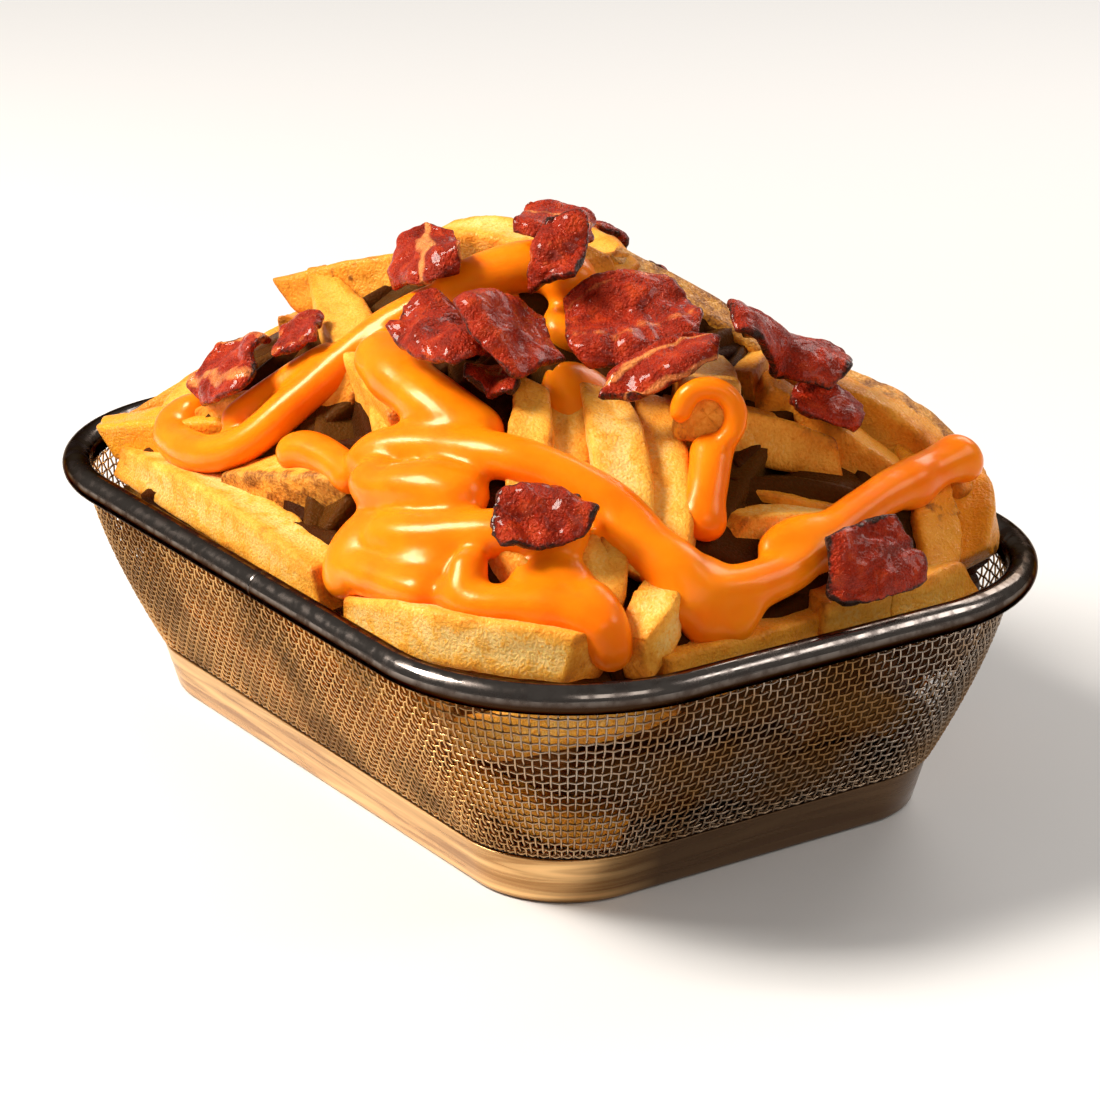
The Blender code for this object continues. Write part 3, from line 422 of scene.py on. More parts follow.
class Mesh:
    """A mesh object made from arrays, with its place in its vertices."""

    @staticmethod
    def make(name: str, points: Array, faces: list[Whole],
             marks: Array | None = None) -> bpy.types.Object:
        """Put points, faces and a four-part mark for each point into a new object.

        Args:
            name: The object's name.
            points: Places of the vertices.
            faces: Arrays of faces, one for each number of corners.
            marks: Four numbers from 0 to 1 for each vertex, read by the materials.

        Returns:
            The new object, smooth shaded.
        """
        mesh = bpy.data.meshes.new(name)
        flat = points.reshape(-1, 3)
        mesh.vertices.add(len(flat))
        mesh.vertices.foreach_set("co", flat.ravel())
        corners = np.concatenate([group.ravel() for group in faces])
        sizes = np.concatenate([np.full(len(group), group.shape[1]) for group in faces])
        mesh.loops.add(len(corners))
        mesh.loops.foreach_set("vertex_index", corners)
        mesh.polygons.add(len(sizes))
        mesh.polygons.foreach_set("loop_start", np.concatenate([[0], np.cumsum(sizes)[:-1]]))
        mesh.update(calc_edges=True)
        mesh.validate()
        mesh.shade_smooth()
        if marks is not None:
            layer = mesh.attributes.new("marks", "FLOAT_COLOR", "POINT")
            layer.data.foreach_set("color", np.clip(marks, 0.0, 1.0).reshape(-1, 4).ravel())
        made = bpy.data.objects.new(name, mesh)
        bpy.context.scene.collection.objects.link(made)
        return made

    @staticmethod
    def dress(piece: bpy.types.Object, material: bpy.types.Material, slot: Slot, *nodes: str) -> None:
        """Give a piece its material, let it ride on the body and stand for CAD nodes."""
        piece.data.materials.clear()
        piece.data.materials.append(material)
        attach(piece, "root")
        if nodes:
            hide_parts(*nodes)
        LOG.info("%s: %d faces", piece.name, len(piece.data.polygons))

    @staticmethod
    def bake_modifiers(piece: bpy.types.Object) -> None:
        """Replace a piece's mesh by what its modifiers make of it."""
        bpy.context.view_layer.update()
        evaluated = piece.evaluated_get(bpy.context.evaluated_depsgraph_get())
        result = bpy.data.meshes.new_from_object(evaluated)
        piece.modifiers.clear()
        old = piece.data
        piece.data = result
        result.name = piece.name
        bpy.data.meshes.remove(old)

    @staticmethod
    def face_out(piece: bpy.types.Object) -> None:
        """Turn the faces of a closed mesh outwards."""
        work = bmesh.new()
        work.from_mesh(piece.data)
        bmesh.ops.recalc_face_normals(work, faces=work.faces)
        work.to_mesh(piece.data)
        work.free()


@dataclass(frozen=True)
class Basket:
    """Sizes of the basket: a rounded rectangle whose wall flares out to a rolled rim."""

    half_x: float = 111.3 * MM
    half_y: float = 80.0 * MM
    corner: float = 45.5 * MM
    rim_z: float = 58.0 * MM
    rim_radius: float = 3.45 * MM
    gap: float = 0.3 * MM
    wall_low_z: float = 13.4 * MM
    wall_top_inset: float = 2.3 * MM
    wall_flare: float = 16.2 * MM
    wall_curve: float = 1.35
    wall_thickness: float = 1.0 * MM
    wall_slant: float = 1.13
    floor_z: float = 12.3 * MM
    plan_steps: int = 4001
    close_reach: float = 3.0
    close_gap: float = 3.2

    @property
    def wall_top_z(self) -> float:
        """Height of the wall's upper edge."""
        return self.rim_z - self.rim_radius - self.gap

    @property
    def flat_x(self) -> float:
        """Half the straight stretch of a long side."""
        return self.half_x - self.corner

    @property
    def flat_y(self) -> float:
        """Half the straight stretch of a short side."""
        return self.half_y - self.corner

    @property
    def perimeter(self) -> float:
        """Length of the rim's centre line."""
        return 4 * (self.flat_x + self.flat_y) + TAU * self.corner

    def wall_inset(self, z: npt.ArrayLike) -> Array:
        """How far the wall's outer face lies inside the rim's centre line at a height."""
        rise = np.clip((np.asarray(z) - self.wall_low_z) / (self.wall_top_z - self.wall_low_z), 0.0, 1.0)
        return self.wall_top_inset + self.wall_flare * (1.0 - rise) ** self.wall_curve

    def round_outline(self, travel: Array) -> tuple[Array, Array]:
        """Corner centres and outward directions at lengths along the rim's centre line.

        Formula: along a straight stretch the centre moves and the direction stays, and round a corner
        the centre stays and the direction turns, so both are linear between nine named places.

        Args:
            travel: Lengths from the middle of the +X side, anticlockwise.

        Returns:
            The centres and the directions, each with x and y.
        """
        arc = self.corner * math.pi / 2
        stretches = np.cumsum([0.0, self.flat_y, arc, 2 * self.flat_x, arc, 2 * self.flat_y, arc,
                               2 * self.flat_x, arc, self.flat_y])
        signs_x = np.array((1, 1, 1, -1, -1, -1, -1, 1, 1, 1))
        signs_y = np.array((0, 1, 1, 1, 1, -1, -1, -1, -1, 0))
        turns = np.array((0, 0, 1, 1, 2, 2, 3, 3, 4, 4)) * math.pi / 2
        wrapped = np.mod(travel, self.perimeter)
        angle = np.interp(wrapped, stretches, turns)
        centre = np.stack([np.interp(wrapped, stretches, signs_x * self.flat_x),
                           np.interp(wrapped, stretches, signs_y * self.flat_y)], -1)
        return centre, np.stack([np.cos(angle), np.sin(angle)], -1)

    def place(self, travel: Array, inset: Array, z: Array) -> Array:
        """Points at a length along the outline, an inset from the rim's centre line and a height."""
        centre, outward = self.round_outline(travel)
        flat = centre + outward * (self.corner - inset)[..., None]
        return np.concatenate([flat, np.broadcast_to(z, inset.shape)[..., None]], -1)

    def travel_of(self, x: float, y: float) -> float:
        """Length along the outline of the place nearest to a point in plan."""
        travel = np.linspace(0.0, self.perimeter, self.plan_steps)
        centre, outward = self.round_outline(travel)
        away = np.hypot(*(centre + outward * self.corner - (x, y)).T)
        return float(travel[np.argmin(away)])

    def stations(self, count: int, spot: float, half: float, steps: int) -> Array:
        """Lengths round the outline for the rings of a tube, closer together at one spot.

        Args:
            count: How many even lengths there are.
            spot: Length at which something fine lies.
            half: Half width of the fine thing.
            steps: How many lengths take the place of the even ones there.

        Returns:
            The lengths in order.
        """
        even = np.linspace(0.0, self.perimeter, count, endpoint=False)
        close = spot + half * np.linspace(-self.close_reach, self.close_reach, steps)
        return np.sort(np.concatenate([even[np.abs(even - spot) > self.close_gap * half], close]))

    def rim_inset(self, points: Array) -> tuple[Array, Array]:
        """How far points lie inside the rim's centre line in plan, and the way further in."""
        beyond_x = np.abs(points[..., 0]) - self.flat_x
        beyond_y = np.abs(points[..., 1]) - self.flat_y
        sign_x = np.copysign(1.0, points[..., 0])
        sign_y = np.copysign(1.0, points[..., 1])
        reach = np.hypot(beyond_x, beyond_y)
        cornered = (beyond_x > 0) & (beyond_y > 0)
        sideways = beyond_x > beyond_y
        inset = np.where(cornered, self.corner - reach,
                         self.corner - np.where(sideways, beyond_x, beyond_y))
        way_x = np.where(cornered, -sign_x * beyond_x / np.maximum(reach, 1e-9),
                         np.where(sideways, -sign_x, 0.0))
        way_y = np.where(cornered, -sign_y * beyond_y / np.maximum(reach, 1e-9),
                         np.where(sideways, 0.0, -sign_y))
        return inset, np.stack([way_x, way_y], -1)

    def keep_inside(self, points: Array, radii: Array) -> Array:
        """Push points inwards and upwards until a round body of their radii clears the basket."""
        z = np.maximum(points[:, 2], self.floor_z + self.wall_thickness + 2 * self.gap + radii)
        slanted = self.wall_inset(z) + self.wall_slant * (self.wall_thickness + 2 * self.gap + radii)
        needed = np.where(z < self.wall_top_z + radii, slanted, 0.0)
        reach = self.rim_radius + 2 * self.gap + radii
        beside = np.sqrt(np.maximum(reach ** 2 - (z - self.rim_z) ** 2, 0.0))
        needed = np.maximum(needed, beside)
        inset, inwards = self.rim_inset(points)
        push = np.maximum(0.0, needed - inset)
        return np.column_stack([points[:, :2] + inwards * push[:, None], z])


@dataclass(frozen=True)
class Heap:
    """The heap's form: a rounded pyramid whose height falls from the peak to the edge."""

    peak: tuple[float, float, float] = (-8.0 * MM, 2.0 * MM, 126.0 * MM)
    half_x: float = 106.5 * MM
    half_y: float = 75.2 * MM
    edge_z: float = 62.0 * MM
    square: float = 4.5
    fall_near: float = 1.25
    fall_far: float = 0.55
    slope_step: float = 2.0 * MM

    def half_sizes(self, way_x: Array, way_y: Array) -> tuple[Array, Array]:
        """Distances from the peak to the edge on the sides that the directions point to."""
        return (self.half_x - self.peak[0] * np.copysign(1.0, way_x),
                self.half_y - self.peak[1] * np.copysign(1.0, way_y))

    def height(self, x: npt.ArrayLike, y: npt.ArrayLike) -> Array:
        """Height of the heap's outer surface.

        Formula: the place's share of the way to a superellipse round the peak, raised to a power that
        is larger on the far side, tells how much of the peak's height is lost.

        Args:
            x: Places along X.
            y: Places along Y.

        Returns:
            The height at each place.
        """
        from_x = np.asarray(x) - self.peak[0]
        from_y = np.asarray(y) - self.peak[1]
        half_x, half_y = self.half_sizes(from_x, from_y)
        norm = (np.abs(from_x) / half_x) ** self.square + (np.abs(from_y) / half_y) ** self.square
        outwardness = np.minimum(norm ** (1 / self.square), 1.0)
        far_side = np.maximum(from_y / (np.hypot(from_x, from_y) + 1e-9), 0.0)
        fall = outwardness ** (self.fall_near + self.fall_far * far_side)
        return self.edge_z + (self.peak[2] - self.edge_z) * (1.0 - fall)

    def at(self, angle: npt.ArrayLike, outwardness: npt.ArrayLike) -> Array:
        """Points of the surface at an angle round the peak and a share of the way to its edge."""
        along_x = np.cos(angle)
        along_y = np.sin(angle)
        half_x, half_y = self.half_sizes(along_x, along_y)
        reach = np.asarray(outwardness) * superellipse(along_x / half_x, along_y / half_y, self.square)
        x = self.peak[0] + along_x * reach
        y = self.peak[1] + along_y * reach
        return np.stack([x, y, self.height(x, y)], -1)

    def normal(self, x: float, y: float) -> Array:
        """The upward direction square to the surface."""
        step = self.slope_step
        slope_x = (self.height(x + step, y) - self.height(x - step, y)) / (2 * step)
        slope_y = (self.height(x, y + step) - self.height(x, y - step)) / (2 * step)
        return unit(np.array((-slope_x, -slope_y, 1.0)))


class Nodes:
    """A short way to write a material's or a group's nodes."""

    def __init__(self, tree: bpy.types.NodeTree) -> None:
        """Keep the tree that nodes are added to."""
        self.tree = tree

    def put(self, value: object, socket: Socket) -> None:
        """Link a socket to an input, or set the input to a value."""
        if isinstance(value, bpy.types.NodeSocket):
            self.tree.links.new(value, socket)
        elif socket.type == "RGBA":
            socket.default_value = (*value, 1.0)
        else:
            socket.default_value = value

    def add(self, kind: str, inputs: dict | None = None, **settings: object) -> bpy.types.Node:
        """Add a node, set its properties, and set or link its inputs.

        Args:
            kind: The node's type name after ShaderNode.
            inputs: For each input's name or number, a value or a socket to link.
            settings: The node's own properties.

        Returns:
            The new node.
        """
        node = self.tree.nodes.new(kind if kind.startswith("Node") else "ShaderNode" + kind)
        for key, value in settings.items():
            setattr(node, key, value)
        for key, value in (inputs or {}).items():
            self.put(value, node.inputs[key])
        return node

    def ramp(self, factor: Socket, stops: Stops) -> Socket:
        """A colour ramp through the given places and colours."""
        node = self.add("ValToRGB", {"Fac": factor})
        elements = node.color_ramp.elements
        while len(elements) < len(stops):
            elements.new(0.5)
        for element, (place, colour) in zip(elements, stops):
            element.position = place
            element.color = (*colour, 1.0)
        return node.outputs["Color"]

    def plus(self, base: object, value: object, share: float = 1.0) -> Socket:
        """A base plus a share of a value, held between 0 and 1."""
        node = self.add("Math", {0: value, 1: share, 2: base}, operation="MULTIPLY_ADD", use_clamp=True)
        return node.outputs[0]

    def blend(self, first: Socket, second: Socket, share: float) -> Socket:
        """A share of one value plus the rest of another."""
        return self.plus(self.plus(0.0, second, 1.0 - share), first, share)

    def mix(self, factor: object, first: object, second: object) -> Socket:
        """Blend two colours."""
        return self.add("Mix", {0: factor, 6: first, 7: second}, data_type="RGBA").outputs[2]

    def span(self, value: Socket, start: Span = (0.0, 1.0), end: Span = (0.0, 1.0)) -> Socket:
        """Carry a value over from one span to another, held at both ends."""
        node = self.add("MapRange", {"Value": value, "From Min": start[0], "From Max": start[1],
                                     "To Min": end[0], "To Max": end[1]})
        return node.outputs[0]

    def place(self) -> Socket:
        """Object coordinates, in metres."""
        return self.add("TexCoord").outputs["Object"]

    def axis(self, index: int) -> Socket:
        """One of the Object coordinates."""
        return self.add("SeparateXYZ", {"Vector": self.place()}).outputs[index]

    def streaks(self, scale: Place, detail: float, distortion: float = 0.0) -> Socket:
        """Noise drawn out along the axes where its scale is small."""
        drawn = self.add("Mapping", {"Vector": self.place(), "Scale": scale})
        node = self.add("TexNoise", {"Vector": drawn.outputs[0], "Scale": 1.0, "Detail": detail,
                                     "Distortion": distortion})
        return node.outputs[0]

    def mask(self, values: Mask) -> Socket:
        """Place the group of uneven patches with values of its own."""
        return self.add("Group", dict(zip(MASK_INPUTS, values)), node_tree=mottle()).outputs["Mask"]

    def marks(self) -> tuple[Socket, Socket, Socket, Socket]:
        """The four numbers that each vertex carries."""
        marks = self.add("Attribute", attribute_name="marks")
        parts = self.add("SeparateColor", {"Color": marks.outputs["Color"]})
        return (*parts.outputs, marks.outputs["Alpha"])


def mottle() -> bpy.types.NodeTree:
    """A mask of uneven patches that the finishes share: noise with a soft threshold.

    Returns:
        The group, made at its first use, with the inputs Scale, Detail, Low and High and the output Mask.
    """
    existing = bpy.data.node_groups.get("Mottle")
    if existing is not None:
        return existing
    group = bpy.data.node_groups.new("Mottle", "ShaderNodeTree")
    for name in MASK_INPUTS:
        group.interface.new_socket(name, in_out="INPUT", socket_type="NodeSocketFloat")
    group.interface.new_socket("Mask", in_out="OUTPUT", socket_type="NodeSocketFloat")
    nodes = Nodes(group)
    scale, detail, low, high = nodes.add("NodeGroupInput").outputs[:len(MASK_INPUTS)]
    field = nodes.add("TexNoise", {"Vector": nodes.place(), "Scale": scale, "Detail": detail})
    spread = nodes.add("MapRange", {"Value": field.outputs[0], "From Min": low, "From Max": high},
                       interpolation_type="SMOOTHSTEP")
    nodes.add("NodeGroupOutput", {"Mask": spread.outputs[0]})
    return group


class Surface(Nodes):
    """A new material whose nodes feed one Principled BSDF."""

    def __init__(self, name: str, **values: object) -> None:
        """Make the material and set constant inputs of its shader.

        Args:
            name: The material's name.
            values: Values of the shader's inputs, with underscores for the spaces in their names.
        """
        self.material = bpy.data.materials.new(name)
        self.material.use_nodes = True
        super().__init__(self.material.node_tree)
        self.shader = self.tree.nodes["Principled BSDF"]
        self.feed(**values)

    def feed(self, **values: object) -> None:
        """Set or link inputs of the shader, with underscores for the spaces in their names."""
        for key, value in values.items():
            self.put(value, self.shader.inputs[key.replace("_", " ")])

    def bump(self, height: Socket, strength: float, distance: float) -> None:
        """Feed a height to the shader's normal."""
        node = self.add("Bump", {"Height": height, "Strength": strength, "Distance": distance})
        self.feed(Normal=node.outputs[0])


@dataclass(frozen=True)
class PolishedSteel:
    """Polished steel with faint smudges, and a painted dark reflection of a table on its lower side."""

    colour: Colour = (0.24, 0.21, 0.19)
    worn: Colour = (0.12, 0.10, 0.09)
    # painted reflection: the dark warm colour of a table mirrored on the rim's lower side
    under: Colour = (0.035, 0.018, 0.010)
    edge: Colour = (0.22, 0.17, 0.13)
    painted_reflection_z: Span = (57.2 * MM, 59.2 * MM)
    roughness: Span = (0.10, 0.30)
    smudges: Mask = (300.0, 5.0, 0.36, 0.66)
    lines: Place = (90.0, 90.0, 2600.0)
    line_detail: float = 2.0
    relief: Span = (0.10, 0.0002)

    def build(self) -> bpy.types.Material:
        """The material: smudges change its colour and roughness, fine lines its relief, and below a height
        the colour turns to a painted dark reflection of a table.
        """
        made = Surface("Polished steel", Metallic=1.0, Specular_Tint=self.edge)
        smudge = made.mask(self.smudges)
        metal = made.mix(smudge, self.colour, self.worn)
        # painted reflection: below this height the metal takes the dark colour of a mirrored table
        upper = made.span(made.axis(2), self.painted_reflection_z)
        made.feed(Base_Color=made.mix(upper, self.under, metal),
                  Roughness=made.span(smudge, end=self.roughness))
        made.bump(made.streaks(self.lines, self.line_detail), *self.relief)
        return made.material


@dataclass(frozen=True)
class FootSteel:
    """Polished band with a painted reflection of a wooden table in long warm streaks, and painted shade
    away from the long side in front.
    """

    # painted reflection: the two warm colours of a wooden table mirrored in the band
    light: Colour = (0.86, 0.54, 0.24)
    dark: Colour = (0.34, 0.17, 0.06)
    # painted shade: the dark colour that the band takes away from the long side in front
    shaded: Colour = (0.13, 0.075, 0.042)
    wood_reflection: Place = (16.0, 16.0, 300.0)
    wood_reflection_detail: float = 4.0
    wood_reflection_bend: float = 1.1
    wood_reflection_edge: Span = (0.36, 0.62)
    shading_y: Span = (-43.0 * MM, -26.0 * MM)
    shading: float = 0.93
    roughness: Span = (0.24, 0.34)

    def build(self) -> bpy.types.Material:
        """The material: noise drawn out along the band blends its two colours into a painted reflection of
        wood grain, and painted shade darkens it away from the long side in front.
        """
        made = Surface("Foot steel", Metallic=1.0)
        # painted reflection of wood grain, drawn out along the band
        waves = made.streaks(self.wood_reflection, self.wood_reflection_detail, self.wood_reflection_bend)
        share = made.span(waves, self.wood_reflection_edge)
        streaked = made.mix(share, self.dark, self.light)
        # painted shade: the band darkens along Y, away from the long side in front
        side = made.span(made.axis(1), self.shading_y, (0.0, self.shading))
        made.feed(Base_Color=made.mix(side, streaked, self.shaded),
                  Roughness=made.span(share, end=self.roughness))
        return made.material


@dataclass(frozen=True)
class SteelWire:
    """Drawn wire with a painted warm reflection along the basket that fades to grey steel at its near end,
    with tarnish in patches.
    """

    # painted reflection: the warm colour of fries and wood mirrored in the wire
    warm_reflection: Colour = (0.70, 0.39, 0.14)
    colour: Colour = (0.36, 0.29, 0.23)
    tarnish: Colour = (0.30, 0.16, 0.06)
    warm_reflection_fade_x: Span = (72.0 * MM, 98.0 * MM)
    patches: Mask = (45.0, 4.0, 0.38, 0.66)
    roughness: Span = (0.22, 0.42)

    def build(self) -> bpy.types.Material:
        """The material: patches of tarnish over bright metal that carries a painted warm reflection."""
        made = Surface("Steel wire", Metallic=1.0)
        patches = made.mask(self.patches)
        # painted reflection: warm along the basket, fading to the wire's own colour at the near end
        metal = made.mix(made.span(made.axis(0), self.warm_reflection_fade_x), self.warm_reflection, self.colour)
        made.feed(Base_Color=made.mix(patches, metal, self.tarnish),
                  Roughness=made.span(patches, end=self.roughness))
        return made.material


@dataclass(frozen=True)
class FriedPotato:
    """Fried potato: marks hold browning, skin, clear amber and painted shade for depth in the heap."""

    crust: Stops = (
        (0.0, (0.99, 0.66, 0.23)),
        (0.20, (0.94, 0.43, 0.055)),
        (0.42, (0.80, 0.27, 0.018)),
        (0.70, (0.48, 0.13, 0.010)),
        (1.0, (0.13, 0.030, 0.006)),
    )
    skin: Stops = (
        (0.0, (0.80, 0.38, 0.07)),
        (0.5, (0.50, 0.19, 0.025)),
        (1.0, (0.17, 0.05, 0.010)),
    )
    amber: Colour = (0.90, 0.34, 0.015)
    amber_share: float = 0.75
    # painted shade: the near-black that fries deep in the heap are painted towards
    painted_shade_colour: Colour = (0.030, 0.006, 0.002)
    patches: Mask = (260.0, 5.0, 0.34, 0.68)
    grain: Mask = (1500.0, 3.0, 0.34, 0.66)
    specks: Mask = (900.0, 2.0, 0.60, 0.70)
    patch_tone: float = 0.24
    patch_start: float = -0.13
    grain_tone: float = 0.10
    speck_tone: float = 0.14
    skin_patches: float = 0.6
    skin_tear: float = 0.25
    skin_edge: Span = (0.48, 0.62)
    roughness: Span = (0.30, 0.56)
    wetness: float = 0.16
    gloss: Span = (0.5, 0.03)
    relief_grain: float = 0.5
    relief: Span = (0.7, 0.0003)

    def build(self) -> bpy.types.Material:
        """The material: browning drives a crust ramp, fine noise breaks it up and gives it grain."""
        made = Surface("Fried potato", Subsurface_Weight=0.15, Subsurface_Radius=(1.0, 0.40, 0.10),
                       Subsurface_Scale=0.0022, IOR=1.38, Specular_Tint=(1.0, 0.72, 0.42))
        browning, skinned, clear, depth = made.marks()
        patches = made.mask(self.patches)
        grain = made.mask(self.grain)
        toned = made.plus(browning, made.plus(self.patch_start, patches, self.patch_tone))
        toned = made.plus(toned, grain, self.grain_tone)
        toned = made.plus(toned, made.mask(self.specks), self.speck_tone)
        clear_share = made.plus(0.0, clear, self.amber_share)
        crust = made.mix(clear_share, made.ramp(toned, self.crust), self.amber)
        skin = made.ramp(made.blend(patches, grain, self.skin_patches), self.skin)
        torn = made.span(made.plus(skinned, patches, self.skin_tear), self.skin_edge)
        # painted shade: the fourth mark blends in the near-black and lowers the gloss of fries deep in the
        # heap
        made.feed(Base_Color=made.mix(depth, made.mix(torn, crust, skin), self.painted_shade_colour),
                  Specular_IOR_Level=made.span(depth, end=self.gloss),
                  Roughness=made.plus(made.span(grain, end=self.roughness), clear, -self.wetness))
        made.bump(made.blend(grain, patches, self.relief_grain), *self.relief)
        return made.material


@dataclass(frozen=True)
class CheeseSauce:
    """Smooth glossy cheese sauce."""

    light: Colour = (1.0, 0.235, 0.003)
    dark: Colour = (0.98, 0.175, 0.002)
    patches: Mask = (70.0, 3.0, 0.35, 0.70)
    ripples: Mask = (330.0, 2.0, 0.20, 0.80)
    relief: Span = (0.12, 0.0004)

    def build(self) -> bpy.types.Material:
        """The material: soft light inside, sharp gloss on top, slow changes of colour."""
        made = Surface("Cheese sauce", Subsurface_Weight=0.35, Subsurface_Radius=(1.0, 0.20, 0.02),
                       Subsurface_Scale=0.004, IOR=1.38, Roughness=0.28,
                       Specular_Tint=(1.0, 0.60, 0.22), Coat_Weight=0.16, Coat_Roughness=0.13,
                       Coat_IOR=1.40)
        made.feed(Base_Color=made.mix(made.mask(self.patches), self.light, self.dark))
        made.bump(made.mask(self.ripples), *self.relief)
        return made.material


@dataclass(frozen=True)
class FriedBacon:
    """Fried bacon: marks hold fat, char and tone."""

    lean: Stops = (
        (0.0, (0.09, 0.006, 0.002)),
        (0.5, (0.33, 0.017, 0.004)),
        (1.0, (0.58, 0.060, 0.010)),
    )
    fat: Colour = (0.85, 0.30, 0.08)
    char: Colour = (0.012, 0.006, 0.005)
    patches: Mask = (300.0, 4.0, 0.30, 0.72)
    grain: Mask = (900.0, 3.0, 0.36, 0.66)
    fine: Mask = (1300.0, 2.0, 0.34, 0.66)
    tone_share: float = 0.6
    fat_patches: float = 0.3
    fat_edge: Span = (0.45, 0.95)
    fat_share: float = 0.85
    burn_grain: float = 0.3
    burn_edge: Span = (0.42, 0.86)
    roughness: Span = (0.24, 0.50)
    relief_fine: float = 0.6
    relief: Span = (1.0, 0.0005)

    def build(self) -> bpy.types.Material:
        """The material: streaks of fat in lean meat, charred at the edges and wet with fat."""
        made = Surface("Fried bacon", Subsurface_Weight=0.10, Subsurface_Radius=(1.0, 0.20, 0.05),
                       Subsurface_Scale=0.002, IOR=1.36, Specular_Tint=(1.0, 0.34, 0.18),
                       Coat_Weight=0.26, Coat_Roughness=0.05, Coat_IOR=1.42)
        fatty, charred, tone, _ = made.marks()
        patches = made.mask(self.patches)
        grain = made.mask(self.grain)
        lean = made.ramp(made.blend(tone, patches, self.tone_share), self.lean)
        torn = made.plus(fatty, patches, self.fat_patches)
        streaked = made.mix(made.span(torn, self.fat_edge, (0.0, self.fat_share)), lean, self.fat)
        burnt = made.span(made.plus(charred, grain, self.burn_grain), self.burn_edge)
        made.feed(Base_Color=made.mix(burnt, streaked, self.char),
                  Roughness=made.span(grain, end=self.roughness))
        made.bump(made.blend(made.mask(self.fine), patches, self.relief_fine), *self.relief)
        return made.material


@dataclass(frozen=True)
class PlainFloor:
    """A plain pale floor, with a painted glow that makes it brighter far from the food."""

    colour: Colour = (0.78, 0.77, 0.76)
    shade: float = 0.985
    uneven: Mask = (3.0, 2.0, 0.2, 0.8)
    # painted light: the floor glows more the farther it lies from the food
    light: Colour = (1.0, 0.99, 0.98)
    glow_from: Span = (0.35, 1.6)
    glow: float = 0.5

    def build(self) -> bpy.types.Material:
        """The material: one pale colour with a very slight unevenness, and a painted glow that grows with
        distance from the middle.
        """
        made = Surface("Pale floor", Roughness=0.6, Emission_Color=self.light)
        darker = tuple(self.shade * part for part in self.colour)
        distance = made.add("VectorMath", {0: made.place()}, operation="LENGTH")
        made.feed(Base_Color=made.mix(made.mask(self.uneven), self.colour, darker),
                  Emission_Strength=made.span(distance.outputs["Value"], self.glow_from,
                                              (0.0, self.glow)))
        return made.material


@dataclass(frozen=True)
class Rim:
    """The rolled rim: a tube with a narrow lip inside and a butt seam on one long side."""

    basket: Basket
    stations: int = 420
    around: int = 40
    lip: float = 0.9 * MM
    lip_angle: float = math.radians(215)
    lip_spread: float = math.radians(11)
    seam_x: float = 11.5 * MM
    seam_steps: int = 25
    seam_half: float = 0.25 * MM
    seam_depth: float = 0.14 * MM

    def build(self, material: bpy.types.Material) -> None:
        """Make the rim.

        Formula: a circle carried along the outline, whose radius grows in a narrow bell at the lip and
        shrinks in another bell at the seam.

        Args:
            material: The rim's finish.
        """
        seam = self.basket.travel_of(self.seam_x, -self.basket.half_y)
        travel = self.basket.stations(self.stations, seam, self.seam_half, self.seam_steps)
        angle = np.linspace(0.0, TAU, self.around, endpoint=False)
        path, turn = np.meshgrid(travel, angle, indexing="ij")
        away = np.mod(turn - self.lip_angle + math.pi, TAU) - math.pi
        radius = self.basket.rim_radius * np.ones_like(turn)
        radius += self.lip * np.exp(-(away / self.lip_spread) ** 2)
        radius -= self.seam_depth * np.exp(-((path - seam) / self.seam_half) ** 2)
        z = self.basket.rim_z + radius * np.sin(turn)
        points = self.basket.place(path, -radius * np.cos(turn), z)
        piece = Mesh.make("rim", points, [grid_faces(len(travel), self.around, True, True)[:, ::-1]])
        Mesh.dress(piece, material, Slot.STEEL, "basket_rim")


